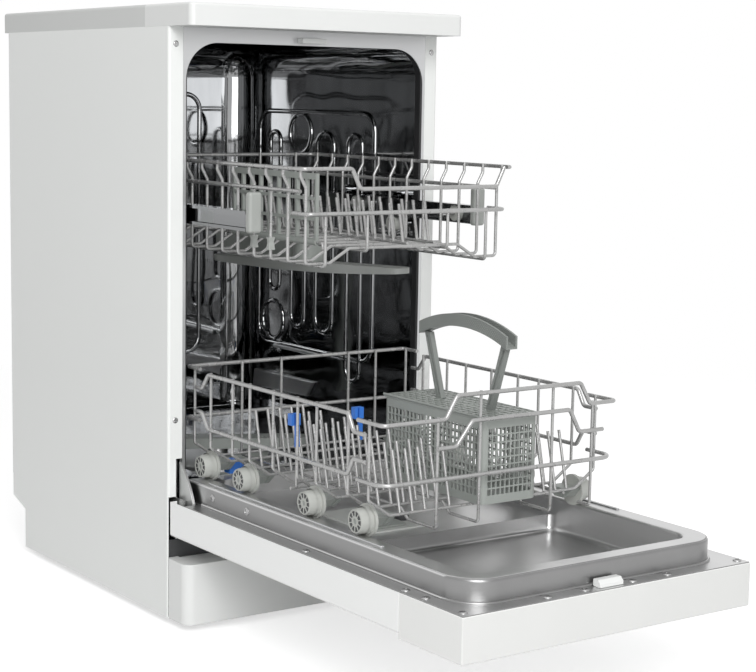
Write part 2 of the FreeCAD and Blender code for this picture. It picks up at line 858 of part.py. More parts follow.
# Rail rollers on the tub studs
rollers = []
for side in BOTH_SIDES:
    start = (side * roller_inner, tub_roller_y, roller_z)
    end = (side * roller_outer, tub_roller_y, roller_z)
    rollers.append(sleeve(start, end, tub_roller_radius, stud_radius + running_gap))
save("tub_rollers", *rollers)

# Telescopic rails of the upper rack and their front end caps
rails = []
caps = []
rail_back = rail_front + rail_length
rail_ends = (rail_front - 1, rail_back + 1)
rail_lip = rail_outer + rail_groove + rail_sheet
for side in BOTH_SIDES:
    rail = block((side * rail_inner, side * rail_lip), (rail_front, rail_back), (rail_low, rail_high))
    inside_z = (rail_low + rail_sheet, rail_high - rail_sheet)
    mouth_z = (rail_low + rail_curl, rail_high - rail_curl)
    for hollow_x, hollow_z in (
        ((rail_inner - 1, rail_outer - rail_sheet), inside_z),
        ((rail_outer, rail_outer + rail_groove), inside_z),
        ((rail_outer, rail_lip + 1), mouth_z),
    ):
        rail = rail.cut(block((side * hollow_x[0], side * hollow_x[1]), rail_ends, hollow_z))
    rails.append(rail)
    cap = block(
        (side * (rail_inner - cap_over), side * (rail_lip + cap_skin)),
        (rail_front - cap_length, rail_front),
        (rail_low - cap_over, rail_high + cap_rise),
    )
    cap = round_edges(cap, cap_length / 3, X_AXIS)
    caps.append(cap)
save("upper_rails", *rails)
save("rail_end_caps", *caps)

# Upper rack rims
step_in = rim_wire + rack_wire + weld_gap
upper_straight = (upper_front + upper_corner + rim_wire, upper_back - upper_corner - rim_wire)
second_half = upper_wall_half + step_in
upper_rims = []
for side in BOTH_SIDES:
    for half, z in ((upper_rim_half, upper_rim_z), (second_half, upper_second_z)):
        upper_rims.append(along(side * half, (upper_straight[0], upper_straight[1]), z, rim_wire))
upper_rims.append(bent_wire([
    (-upper_rim_half, upper_straight[1], upper_rim_z),
    (-upper_rim_half, upper_back, upper_rim_z),
    (upper_rim_half, upper_back, upper_rim_z),
    (upper_rim_half, upper_straight[1], upper_rim_z),
], rim_wire, upper_corner))
dip_run = (upper_rim_z - upper_dip_z) / 2
upper_rims.append(bent_wire([
    (-upper_rim_half, upper_straight[0], upper_rim_z),
    (-upper_rim_half, upper_front, upper_rim_z),
    (upper_dip_left - dip_run, upper_front, upper_rim_z),
    (upper_dip_left, upper_front, upper_dip_z),
    (upper_dip_right, upper_front, upper_dip_z),
    (upper_dip_right + dip_run, upper_front, upper_rim_z),
], rim_wire, dip_run / 2))
upper_rims.append(bent_wire([
    (upper_dip_right + dip_run + rim_wire * 2 + weld_gap, upper_front, upper_rim_z),
    (upper_rim_half, upper_front, upper_rim_z),
    (upper_rim_half, upper_straight[0], upper_rim_z),
], rim_wire, dip_run / 4))
upper_rims.append(bent_wire([
    (-second_half, upper_front + 2 * upper_corner, upper_front_rim_z),
    (-second_half, upper_front, upper_front_rim_z),
    (second_half, upper_front, upper_front_rim_z),
    (second_half, upper_front + 2 * upper_corner, upper_front_rim_z),
], rim_wire, upper_corner / 2))
save("upper_rack_rims", *upper_rims)

# Upper rack wires: side wires with their step below the rim, wavy floor wires, long wires, tines
upper_wires = []
upper_foot_half = upper_ridge_half + upper_slope_run
upper_break = (upper_wall_half + upper_foot_half) / 2
top_half = upper_rim_half - step_in
wire_bend = 3 * rack_wire
wire_top = upper_rim_z + rim_wire
jog_high = upper_rim_z - 4 * rim_wire
jog_low = upper_second_z + 2 * rim_wire
upper_wire_start = upper_front + upper_first_wire
upper_wire_y = [upper_wire_start + index * upper_wire_pitch for index in range(upper_wire_count)]
for y in upper_wire_y:
    for side in BOTH_SIDES:
        upper_wires.append(bent_wire([
            (side * top_half, y, wire_top),
            (side * top_half, y, jog_high),
            (side * upper_wall_half, y, jog_low),
            (side * upper_wall_half, y, upper_floor_z),
            (side * upper_break, y, upper_floor_z),
        ], rack_wire, wire_bend))
    upper_wires.append(bent_wire([
        (-upper_break, y, upper_floor_z),
        (-upper_foot_half, y, upper_floor_z),
        (-upper_ridge_half, y, upper_ridge_z),
        (upper_ridge_half, y, upper_ridge_z),
        (upper_foot_half, y, upper_floor_z),
        (upper_break, y, upper_floor_z),
    ], rack_wire, wire_bend))
under = 2 * rack_wire + weld_gap
front_wire_y = upper_front + step_in
back_wire_y = upper_back - step_in
upper_long_y = (front_wire_y + upper_wire_pitch, back_wire_y - upper_wire_pitch)
for x, z in ((upper_rail_x, upper_floor_z - under), (upper_inner_rail_x, upper_ridge_z - under)):
    for side in BOTH_SIDES:
        upper_wires.append(bent_wire([
            (side * x, front_wire_y, upper_front_rim_z + rim_wire),
            (side * x, front_wire_y, z),
            (side * x, front_wire_y + upper_wire_pitch, z),
        ], rack_wire, wire_bend))
        upper_wires.append(along(side * x, upper_long_y, z, rack_wire))
        upper_wires.append(bent_wire([
            (side * x, back_wire_y - upper_wire_pitch, z),
            (side * x, back_wire_y, z),
            (side * x, back_wire_y, wire_top),
        ], rack_wire, wire_bend))
tine_bed_z = upper_ridge_z + under
tine_start_y = upper_wire_y[0]
tine_end_y = tine_start_y + upper_tine_count * upper_tine_pitch
upper_wires.append(along(upper_tine_x, (tine_start_y, tine_end_y), tine_bed_z, rack_wire))
for index in range(upper_tine_count):
    y = tine_start_y + (index + 0.5) * upper_tine_pitch
    foot = (upper_tine_x, y, tine_bed_z + rack_wire + 2 * weld_gap)
    tip = (upper_tine_x - upper_tine_lean, y, foot[2] + upper_tine_height)
    upper_wires.append(rod(foot, tip, rack_wire))
for side in BOTH_SIDES:
    for y in (upper_wire_y[3], upper_wire_y[9]):
        peg_root = upper_wall_half + rack_wire + weld_gap
        peg_tip = rail_outer - rail_sheet - seat_gap
        upper_wires.append(across((side * peg_root, side * peg_tip), y, rail_middle_z, peg_radius))
shelf_legs = (upper_wire_y[1], upper_wire_y[7])
slope = (upper_ridge_z - upper_floor_z) / upper_slope_run
shelf_leg_z = upper_floor_z + (upper_foot_half + shelf_x) * slope + under
upper_wires.append(bent_wire([
    (shelf_x, shelf_legs[0], shelf_leg_z),
    (shelf_x, shelf_legs[0], shelf_rod_z),
    (shelf_x, shelf_legs[1], shelf_rod_z),
    (shelf_x, shelf_legs[1], shelf_leg_z),
], rack_wire, wire_bend))
save("upper_rack_wires", *upper_wires)

# Rack rollers inside the rails
roller_radius = rail_height / 2 - rail_sheet - rail_play
for name, y in (("rack_rollers_front", upper_wire_y[3]), ("rack_rollers_rear", upper_wire_y[9])):
    pair = []
    for side in BOTH_SIDES:
        start = (side * (rail_outer - rail_sheet - 2 * seat_gap - rack_roller_width), y, rail_middle_z)
        end = (side * (rail_outer - rail_sheet - 2 * seat_gap), y, rail_middle_z)
        pair.append(sleeve(start, end, roller_radius, peg_radius + running_gap))
    save(name, *pair)

# Manifold under the upper rack and the spray arm on its hub
manifold_top = upper_ridge_z - rack_wire - 2 * seat_gap
manifold_low = manifold_top - manifold_height
upper_arm_top = manifold_low - seat_gap
upper_arm_low = upper_arm_top - upper_arm_thickness
duct = block((-manifold_half, manifold_half), (upper_arm_y, manifold_back), (manifold_low, manifold_top))
boss = upright(0, upper_arm_y, (manifold_low, manifold_top), 1.6 * manifold_half)
upper_hub = upright(0, upper_arm_y, (upper_arm_low, manifold_top), upper_hub_radius)
save("upper_spray_manifold", fused(duct, boss, upper_hub))
save("upper_spray_arm", spray_arm(
    upper_arm_reach, upper_arm_width, upper_arm_low, upper_arm_top, upper_hub_radius + running_gap,
    upper_arm_y, upper_arm_turn))

# Cup shelf on its rod
bead_radius = rack_wire + shelf_thickness / 2
bead = along(shelf_x, (shelf_front, shelf_back), shelf_rod_z, bead_radius)
bead = bead.cut(along(shelf_x, (shelf_front - 1, shelf_back + 1), shelf_rod_z, rack_wire + running_gap))
shelf_top = shelf_rod_z + shelf_height
panel = block(
    (shelf_x - shelf_thickness / 2, shelf_x + shelf_thickness / 2),
    (shelf_front, shelf_back),
    (shelf_rod_z + shelf_thickness / 2, shelf_top),
)
cell_length = (shelf_back - shelf_front - shelf_bar) / shelf_columns
cell_height = (shelf_height - shelf_thickness - shelf_bar) / shelf_rows
cells = []
for column in range(shelf_columns):
    for row in range(shelf_rows):
        cell_y = shelf_front + shelf_bar + column * cell_length
        cell_z = shelf_rod_z + shelf_thickness + row * cell_height
        cells.append(block(
            (shelf_x - shelf_thickness, shelf_x + shelf_thickness),
            (cell_y, cell_y + cell_length - shelf_bar),
            (cell_z, cell_z + cell_height - shelf_bar),
        ))
save("cup_shelf", fused(panel.cut(Part.makeCompound(cells)), bead))

# Lower rack rims
track_run = lower_rim_z - lower_dip_z
side_front = min(wheel_y) + wheel_wire_offset - 2 * rim_wire
side_back = max(wheel_y) - wheel_wire_offset
lower_rims = []
for side in BOTH_SIDES:
    x = side * lower_half
    for straight, end in ((lower_rim_z, lower_dip_z), (lower_second_z, lower_second_high_z)):
        lower_rims.append(bent_wire([
            (x, lower_back - lower_corner, end),
            (x, side_back + track_run * 0.8, end),
            (x, side_back, straight),
            (x, side_front, straight),
            (x, side_front - track_run * 0.6, end),
            (x, lower_front + lower_corner + 6 * rim_wire, end),
        ], rim_wire, 3 * rim_wire))
for z in (lower_rear_rim_z, lower_rear_second_z):
    lower_rims.extend(welded_wire([
        (-lower_half, max(wheel_y), z),
        (-lower_half, lower_back, z),
        (lower_half, lower_back, z),
        (lower_half, max(wheel_y), z),
    ], rim_wire, lower_rear_corner))
rise = lower_front_high_z - lower_front_rim_z
front_left = lower_rail_x[0] + 8
front_right = lower_rail_x[3] - 14
lower_rims.extend(welded_wire([
    (-lower_half, side_front - track_run, lower_front_rim_z),
    (-lower_half, lower_front, lower_front_rim_z),
    (front_left, lower_front, lower_front_rim_z),
    (front_left + rise * 0.6, lower_front, lower_front_high_z),
    (front_right - rise * 0.4, lower_front, lower_front_high_z),
    (front_right + rise * 0.2, lower_front, lower_front_rim_z),
    (lower_half, lower_front, lower_front_rim_z),
    (lower_half, side_front - track_run, lower_front_rim_z),
], rim_wire, 3 * rim_wire))
second_rise = lower_front_second_high_z - lower_front_second_z
lower_rims.extend(welded_wire([
    (lower_rail_x[0] - rim_wire, lower_front, lower_front_second_z),
    (front_left + rise * 0.6, lower_front, lower_front_second_z),
    (front_left + rise * 0.6 + second_rise * 0.8, lower_front, lower_front_second_high_z),
    (front_right - rise, lower_front, lower_front_second_high_z),
    (front_right - rise * 0.4, lower_front, lower_front_second_z),
    (lower_rail_x[3] + 6 * rim_wire, lower_front, lower_front_second_z),
], rim_wire, 3 * rim_wire))
lower_rims.extend(welded_wire([
    (-lower_half, side_front - track_run, lower_front_third_z + track_run),
    (-lower_half, lower_front, lower_front_third_z + track_run),
    (lower_half, lower_front, lower_front_third_z + track_run),
    (lower_half, side_front - track_run, lower_front_third_z + track_run),
], rim_wire, lower_corner))
save("lower_rack_rims", *lower_rims)

# Lower rack wires: side wires, floor wires, long wires and fixed tines
lower_wires = []
lower_wall_half = lower_half - step_in
lower_break = lower_foot_half - 8
lower_wire_y = [middle_wire_y]
for y in wheel_y:
    lower_wire_y += [y + wheel_wire_offset, y - wheel_wire_offset]
lower_wire_y.sort()
for y in lower_wire_y:
    at_end = y > side_back or y < side_front - track_run
    top = (lower_rear_rim_z if y > side_back else lower_front_rim_z) if at_end else lower_rim_z
    for side in BOTH_SIDES:
        lower_wires.append(bent_wire([
            (side * lower_wall_half, y, top + rim_wire),
            (side * lower_wall_half, y, lower_bend_z),
            (side * lower_foot_half, y, lower_floor_z),
            (side * lower_break, y, lower_floor_z),
        ], rack_wire, wire_bend))
    lower_wires.append(across((-lower_break, lower_break), y, lower_floor_z, rack_wire))
long_z = lower_floor_z - under
lower_front_wire = lower_front + step_in
lower_back_wire = lower_back - step_in
long_front = min(lower_wire_y) + wheel_wire_offset
long_back = max(lower_wire_y) - wheel_wire_offset
for x in lower_rail_x:
    at_corner = x in (lower_rail_x[0], lower_rail_x[-1])
    top = lower_front_rim_z if at_corner else lower_front_high_z
    toe_end = long_front if x < lower_break else min(lower_wire_y) - 3 * wire_bend / 2
    lower_wires.extend(welded_wire([
        (x, lower_front_wire, top + rim_wire),
        (x, lower_front_wire, lower_toe_z),
        (x, toe_end, lower_toe_z),
    ], rack_wire, wire_bend))
    if x > lower_break:
        continue
    lower_wires.append(bent_wire([
        (x, long_front, lower_toe_z),
        (x, long_front + wire_bend, lower_toe_z),
        (x, long_front + wheel_wire_offset, long_z),
        (x, long_back, long_z),
    ], rack_wire, wire_bend))
right_long_x = lower_break - 3 * axle_radius
lower_wires.append(along(right_long_x, (min(lower_wire_y), long_back), long_z, rack_wire))
for x in lower_rail_x[:-1] + (right_long_x,):
    lower_wires.extend(welded_wire([
        (x, long_back, long_z),
        (x, lower_back_wire, long_z),
        (x, lower_back_wire, lower_rear_rim_z + rim_wire),
    ], rack_wire, wire_bend))
tine_foot_z = lower_floor_z + rack_wire + 3 * weld_gap
for y in lower_wire_y[:-2]:
    row = [tine_left_x + index * tine_pitch for index in range(tine_left_count)]
    row += [tine_right_x + index * tine_pitch for index in range(tine_right_count)]
    for x in row:
        lower_wires.append(rod((x, y, tine_foot_z), (x, y + tine_lean, tine_foot_z + tine_height), rack_wire))
save("lower_rack_wires", *lower_wires)

# Wheel clips under the floor wires, each with its axle, and a stepped foot beside the rear left one
wheel_z = track_height + wheel_radius + wheel_clearance
wheel_inner = wheel_outer - wheel_tread
flange_inner = track_inner_half - 1 - wheel_flange
clip_outer = flange_inner - 2 * running_gap
clip_top = lower_floor_z - rack_wire - weld_gap
clips = []
for y in wheel_y:
    for side in BOTH_SIDES:
        clip = block(
            (side * (lower_break + 1), side * clip_outer),
            (y - wheel_wire_offset - 2, y + wheel_wire_offset + 2),
            (wheel_z - 2 * axle_radius, clip_top),
        )
        clip = clip.cut(block(
            (side * (lower_foot_half - 1), side * (clip_outer + 1)),
            (y - wheel_wire_offset - 3, y - wheel_wire_offset + 3),
            (wheel_z - 3 * axle_radius, clip_top + 1),
        ))
        clip = clip.cut(block(
            (side * (lower_foot_half - 1), side * (clip_outer + 1)),
            (y + wheel_wire_offset - 3, y + wheel_wire_offset + 3),
            (wheel_z - 3 * axle_radius, clip_top + 1),
        ))
        axle = across((side * (clip_outer - 1), side * (wheel_outer - 1)), y, wheel_z, axle_radius)
        clips.append(fused(clip, axle))
foot_start = -lower_break - 1
foot_y = (wheel_y[0] - foot_depth / 2, wheel_y[0] + foot_depth / 2)
foot_x = (foot_start, foot_start + foot_length)
step_x = (foot_x[1], foot_x[1] + foot_step)
clips.append(fused(
    block(foot_x, foot_y, (foot_low_z, clip_top)),
    block(step_x, foot_y, (foot_low_z, (foot_low_z + clip_top) / 2)),
))
save("wheel_clips", *clips)

# Rack wheels: a tread that rolls on the track, a guiding flange and an open spoked face
wheel_names = ("rack_wheels_rear", "rack_wheels_mid_rear", "rack_wheels_mid_front", "rack_wheels_front")
dish_depth = wheel_tread * 0.5
tread_end = flange_inner + wheel_flange + wheel_seat
for name, y in zip(wheel_names, wheel_y):
    pair = []
    for side in BOTH_SIDES:
        centre = V(0, y, wheel_z)
        flange_x = (side * flange_inner, side * (flange_inner + wheel_flange))
        flange = across(flange_x, y, wheel_z, wheel_flange_radius)
        tread = across((side * flange_inner, side * tread_end), y, wheel_z, wheel_radius)
        taper_root = V(side * tread_end, y, wheel_z)
        taper_run = wheel_outer - tread_end
        taper = Part.makeCone(wheel_radius, wheel_face_radius, taper_run, taper_root, side * X_AXIS)
        wheel = fused(flange, tread, taper)
        dish_x = (side * (wheel_outer - dish_depth), side * (wheel_outer + 1))
        dish = across(dish_x, y, wheel_z, wheel_face_radius - wheel_wall)
        dish = dish.cut(across((0, side * (wheel_outer + 2)), y, wheel_z, axle_radius + 3))
        for index in range(wheel_spokes):
            spoke = block(
                (side * (wheel_outer - dish_depth - 1), side * (wheel_outer + 2)),
                (y - 0.6, y + 0.6),
                (wheel_z, wheel_z + wheel_radius),
            )
            spoke.rotate(centre, X_AXIS, index * 360.0 / wheel_spokes)
            dish = dish.cut(spoke)
        wheel = wheel.cut(dish)
        bore = across((0, side * (wheel_outer + 1)), y, wheel_z, axle_radius + running_gap)
        pair.append(wheel.cut(bore))
    save(name, *pair)

# Folding tine row on its rod, and the two clips that hold it
fold_z = long_z + rack_wire + fold_rod_wire + 3 * weld_gap
fold_rod_x = tine_left_x + 1.5 * tine_pitch
fold_x = (fold_rod_x - fold_rod_half, fold_rod_x + fold_rod_half)
fold_row = [across(fold_x, fold_rod_y, fold_z, fold_rod_wire)]
for index in range(fold_tine_count):
    x = fold_rod_x + (index - (fold_tine_count - 1) / 2) * tine_pitch
    foot_z = fold_z + fold_rod_wire + 2 * weld_gap
    tip = (x, fold_rod_y + tine_lean, foot_z + tine_height)
    fold_row.append(rod((x, fold_rod_y, foot_z), tip, rack_wire))
save("folding_tines", *fold_row)
fold_clips = []
clip_top_z = fold_z + clip_height
for x in fold_clip_x:
    stem = block(
        (x + clip_head / 2 - clip_width, x + clip_head / 2),
        (fold_rod_y - clip_width / 2, fold_rod_y + clip_width / 2),
        (fold_z - fold_rod_wire - 1, clip_top_z),
    )
    head = block(
        (x - clip_head / 2, x + clip_head / 2),
        (fold_rod_y - clip_head_depth / 2, fold_rod_y + clip_head_depth / 2),
        (clip_top_z - clip_head_height, clip_top_z),
    )
    slot = block(
        (x - clip_slot, x),
        (fold_rod_y - clip_head_depth, fold_rod_y),
        (clip_top_z - clip_head_height - 1, clip_top_z + 1),
    )
    bore = across((x - clip_head, x + clip_head), fold_rod_y, fold_z, fold_rod_wire + running_gap)
    fold_clips.append(fused(stem, head).cut(slot).cut(bore))
save("tine_clips", *fold_clips)

# Cutlery basket: a floor and four lattice walls joined at their edges, and the fixed half of its top grid
basket_low = lower_floor_z + rack_wire + basket_gap
basket_top = basket_low + basket_height
basket_x = (basket_left, basket_right)
basket_y = (basket_front, basket_back)
basket = block(basket_x, basket_y, (basket_low, basket_top - basket_lid))
basket = round_edges(basket, basket_rim / 2, Z_AXIS)
basket = basket.cut(block(
    (basket_left + basket_wall, basket_right - basket_wall),
    (basket_front + basket_wall, basket_back - basket_wall),
    (basket_low + basket_wall, basket_top),
))
long_holes = []
end_holes = []
cell_z = (basket_height - basket_lid - 2 * basket_rim) / basket_cell_rows
long_cell = (basket_back - basket_front - 2 * basket_rim) / basket_long_cells
end_cell = (basket_right - basket_left - 2 * basket_rim) / basket_end_cells
for row in range(basket_cell_rows):
    z = basket_low + basket_rim + row * cell_z
    z_limits = (z + basket_bar / 2, z + cell_z - basket_bar / 2)
    for column in range(basket_long_cells):
        y = basket_front + basket_rim + column * long_cell
        y_limits = (y + basket_bar / 2, y + long_cell - basket_bar / 2)
        long_holes.append(block((basket_left - 1, basket_right + 1), y_limits, z_limits))
    for column in range(basket_end_cells):
        x = basket_left + basket_rim + column * end_cell
        x_limits = (x + basket_bar / 2, x + end_cell - basket_bar / 2)
        end_holes.append(block(x_limits, (basket_front - 1, basket_back + 1), z_limits))


def grid_lid(x, y, z, columns, rows, bar):
    """A flat lid with a grid of openings."""
    lid = block(x, y, z)
    pitch_x = (x[1] - x[0] - bar) / columns
    pitch_y = (y[1] - y[0] - bar) / rows
    holes = []
    for column in range(columns):
        for row in range(rows):
            hole_x = x[0] + bar + column * pitch_x
            hole_y = y[0] + bar + row * pitch_y
            hole_x_limits = (hole_x, hole_x + pitch_x - bar)
            hole_y_limits = (hole_y, hole_y + pitch_y - bar)
            holes.append(block(hole_x_limits, hole_y_limits, (z[0] - 1, z[1] + 1)))
    return lid.cut(Part.makeCompound(holes))


lid_z = (basket_top - basket_lid, basket_top)
fixed_lid = grid_lid((lid_split_x, basket_right), basket_y, lid_z, lid_columns, lid_rows, 1.5 * basket_bar)
wide_x = (basket_left - 1, basket_right + 1)
wall_y = (basket_front + basket_wall, basket_back - basket_wall)
wall_z = (basket_low + basket_wall, basket_top)
base_z = (basket_low - 1, basket_low + basket_wall)
panels = [basket.common(block(wide_x, (basket_front - 1, basket_back + 1), base_z))]
for zone, holes in (
    (block(wide_x, (basket_front - 1, wall_y[0]), wall_z), end_holes),
    (block(wide_x, (wall_y[1], basket_back + 1), wall_z), end_holes),
    (block((basket_left - 1, basket_left + basket_wall), wall_y, wall_z), long_holes),
    (block((basket_right - basket_wall, basket_right + 1), wall_y, wall_z), long_holes),
):
    panels.append(basket.common(zone).cut(Part.makeCompound(holes)))
save("cutlery_basket", *panels, fixed_lid)
swing_z = (lid_z[0] + seat_gap, lid_z[1])
swing_x = (basket_left, lid_split_x - basket_gap)
swing_lid = grid_lid(swing_x, basket_y, swing_z, lid_columns, lid_rows, basket_bar)
save("cutlery_lid", fused(swing_lid, along(basket_left, basket_y, basket_top, lid_bead)))

# Cutlery handle: two grooved stems and an arched grip with a channel along its top
handle_top = basket_top + handle_rise
grip_middle = (handle_front + handle_rear) / 2
grip_end_z = handle_top - handle_sag - handle_grip_height
stem_inset = 3 * handle_stem


def handle_band(low, high, width):
    """A curved bar over the basket, between two heights above the grip's lower edge."""
    arcs = [
        Part.Arc(
            V(0, handle_front, grip_end_z + lift),
            V(0, grip_middle, handle_top - handle_grip_height + lift),
            V(0, handle_rear, grip_end_z + lift),
        ).toShape()
        for lift in (low, high)
    ]
    ends = [
        Part.LineSegment(V(0, y, grip_end_z + low), V(0, y, grip_end_z + high)).toShape()
        for y in (handle_rear, handle_front)
    ]
    band = Part.Face(Part.Wire([arcs[0], ends[0], arcs[1], ends[1]])).extrude(V(width, 0, 0))
    band.translate(V(handle_x - width / 2, 0, 0))
    return band


grip = handle_band(0, handle_grip_height, handle_grip_width)
grip = grip.cut(handle_band(handle_wall, handle_grip_height + 1, handle_grip_width - 2 * handle_wall))
stems = []
stem_top = grip_end_z + handle_wall
stem_low = basket_top + seat_gap
stem_faces = (handle_x - handle_width / 2, handle_x + handle_width / 2)
for end, lean in ((handle_front, 1), (handle_rear, -1)):
    outer = end + lean * handle_stem / 2
    foot = end + lean * stem_inset
    stem = side_plate([
        (outer, stem_top),
        (outer + lean * handle_stem, stem_top),
        (foot + lean * handle_stem, stem_low),
        (foot, stem_low),
    ], stem_faces)
    for face in stem_faces:
        stem = stem.cut(side_plate([
            (outer + lean * handle_stem / 3, stem_top - handle_stem / 2),
            (outer + lean * handle_stem * 2 / 3, stem_top - handle_stem / 2),
            (foot + lean * handle_stem * 2 / 3, stem_low + handle_stem / 2),
            (foot + lean * handle_stem / 3, stem_low + handle_stem / 2),
        ], (face - handle_width / 4, face + handle_width / 4)))
    stems.append(stem)
save("cutlery_handle", fused(grip, *stems))

# Door outer panel: a tray with notches for the hinges and for the basin of the inner panel
door_under = door_edge - door_shell
shell_x = (-door_half, door_half)
shell = block(shell_x, (fascia_start, door_hinge_end), (door_under, door_edge))
shell = round_edges(shell, panel_bend, Y_AXIS, lambda middle: middle.z < door_under + 1)
shell = shell.cut(block(
    (door_sheet - door_half, door_half - door_sheet),
    (fascia_start + door_sheet, door_hinge_end - door_sheet),
    (door_under + door_sheet, door_edge + 1),
))
hinge_slot_inner = hinge_arm_inner - 2
hinge_slot_outer = plate_outer + 2
for side in BOTH_SIDES:
    shell = shell.cut(block(
        (side * hinge_slot_inner, side * hinge_slot_outer),
        (door_hinge_end - 3 * door_sheet, door_hinge_end + 1),
        (hinge_z - ear - 10, door_edge + 1),
    ))
joint_notch_x = (-track_inner_half - 2 * fascia_wall, track_inner_half + 2 * fascia_wall)
joint_notch_z = (basin_floor - 2 * fascia_wall, door_edge + 1)
shell = shell.cut(block(joint_notch_x, (fascia_start - 1, fascia_start + 2 * door_sheet), joint_notch_z))
save("door_outer_panel", shell)

# Control fascia at the door's free end, with board posts, button holes and a finger grip
fascia_low = door_edge - fascia_depth
fascia_end = fascia_start - door_joint_gap
fascia_inside = fascia_low + fascia_wall
fascia = block(shell_x, (-door_reach, fascia_end), (fascia_low, door_edge))
fascia = fascia.cut(block(
    (fascia_wall - door_half, door_half - fascia_wall),
    (fascia_wall - door_reach, fascia_end - fascia_wall),
    (fascia_inside, door_edge + 1),
))
grip_y = (-door_reach + 4 * fascia_wall, -door_reach + 4 * fascia_wall + grip_width)
pocket_wall = block(
    (-grip_half - fascia_wall, grip_half + fascia_wall),
    (grip_y[0] - fascia_wall, grip_y[1] + fascia_wall),
    (fascia_low, fascia_low + grip_depth + fascia_wall),
)
pocket = block((-grip_half, grip_half), grip_y, (fascia_low - 1, fascia_low + grip_depth))
board_z = fascia_low + grip_depth + fascia_wall + 2
board_y = (grip_y[0], fascia_end - 4 * fascia_wall)
board_x = button_x + 3 * button_radius
board_posts = []
for side in BOTH_SIDES:
    for y in (board_y[0] + fascia_wall * 2, board_y[1] - fascia_wall * 2):
        x = side * (board_x - fascia_wall * 2)
        board_posts.append(upright(x, y, (fascia_low + 1, board_z), 1.5 * fascia_wall))
fascia = fused(fascia, pocket_wall, *board_posts).cut(pocket)
for side in BOTH_SIDES:
    x = side * button_x
    fascia = fascia.cut(upright(x, button_y, (fascia_low - 1, fascia_inside + 1), button_radius + button_gap))
fascia = fascia.cut(block(joint_notch_x, (fascia_end - 2 * fascia_wall, fascia_end + 1), joint_notch_z))
save("control_fascia", fascia)
save("control_board", block((-board_x, board_x), board_y, (board_z, board_z + 2)))

# Buttons: a cap through the fascia and a collar behind it
for side, name in zip(BOTH_SIDES, ("power_button", "start_button")):
    x = side * button_x
    face = upright(x, button_y, (fascia_low - button_gap * 6, fascia_inside + 4), button_radius)
    collar = upright(x, button_y, (fascia_inside + button_gap, fascia_inside + 4), button_radius + 2)
    save(name, fused(face, collar))

# Door inner panel: a flange, a raised hollow rim that carries the rack wheels, and a well with a basin
flange_top = door_edge + door_sheet
rim_front = rim_front_inset - door_reach
rim_x = (-rim_half, rim_half)
rim = block(rim_x, (rim_front, rim_back), (door_edge, track_height))
rim = round_edges(rim, rim_corner, Z_AXIS, lambda middle: middle.y < 0)
rim_under = block(
    (door_sheet - rim_half, rim_half - door_sheet),
    (rim_front + door_sheet, rim_back - door_sheet),
    (door_edge - 1, track_height - door_sheet),
)
rim_under = round_edges(rim_under, rim_corner - door_sheet, Z_AXIS, lambda middle: middle.y < 0)
well_half = track_inner_half
well_front = rim_front + well_front_inset
well_back = rim_back - well_back_inset
well_wall = block(
    (-well_half - door_sheet, well_half + door_sheet),
    (well_front - door_sheet, well_back + door_sheet),
    (well_floor - door_sheet, track_height),
)
well_wall = round_edges(well_wall, well_corner + door_sheet, Z_AXIS)
well = block((-well_half, well_half), (well_front, well_back), (well_floor, track_height + 1))
well = round_edges(well, well_corner, Z_AXIS)
flange = block(
    (-door_half + door_sheet, door_half - door_sheet),
    (-door_reach + door_sheet, door_hinge_end - 2 * door_sheet),
    (door_edge, flange_top),
)
for side in BOTH_SIDES:
    flange = flange.cut(block(
        (side * (hinge_slot_inner - 1), side * (door_half + 1)),
        (hinge_y - hinge_slot_length, door_hinge_end + 1),
        (door_edge - 1, flange_top + 1),
    ))
inner = fused(rim, flange).cut(rim_under)
inner = fused(inner, well_wall).cut(well)
basin_middle = (well_front + basin_back) / 2
basin_wall = block(
    (-well_half - door_sheet, well_half + door_sheet),
    (well_front - door_sheet, basin_back + door_sheet),
    (basin_floor - door_sheet, well_floor),
)
basin = block((-well_half, well_half), (well_front, basin_back), (basin_floor, well_floor + 1))
for in_front, corner in ((True, well_corner), (False, basin_corner)):
    at_end = lambda middle: (middle.y < basin_middle) == in_front
    basin_wall = round_edges(basin_wall, corner + door_sheet, Z_AXIS, at_end)
    basin = round_edges(basin, corner, Z_AXIS, at_end)
inner = fused(inner, basin_wall).cut(basin)
slot_inner = track_inner_half - wheel_flange - 2 * flange_play
slot_front = well_back - well_corner
for side in BOTH_SIDES:
    slot_lining = block(
        (side * (slot_inner - door_sheet), side * (track_inner_half + door_sheet)),
        (slot_front, rim_back),
        (slot_floor - door_sheet, track_height - door_sheet / 2),
    ).cut(well)
    slot = block(
        (side * slot_inner, side * track_inner_half),
        (slot_front, rim_back + 1),
        (slot_floor, track_height + 1),
    )
    inner = fused(inner, slot_lining).cut(slot)
dispenser_x_limits = (dispenser_x - dispenser_half_width, dispenser_x + dispenser_half_width)
dispenser_y_limits = (dispenser_y - dispenser_half_length, dispenser_y + dispenser_half_length)
box_inset = 2 * dispenser_flange
box_x = (dispenser_x_limits[0] + box_inset, dispenser_x_limits[1] - box_inset)
box_y = (dispenser_y_limits[0] + box_inset, dispenser_y_limits[1] - box_inset)
inner = inner.cut(block(
    (box_x[0] - dispenser_fit, box_x[1] + dispenser_fit),
    (box_y[0] - dispenser_fit, box_y[1] + dispenser_fit),
    (door_under, well_floor + 1),
))
save("door_inner_panel", inner)

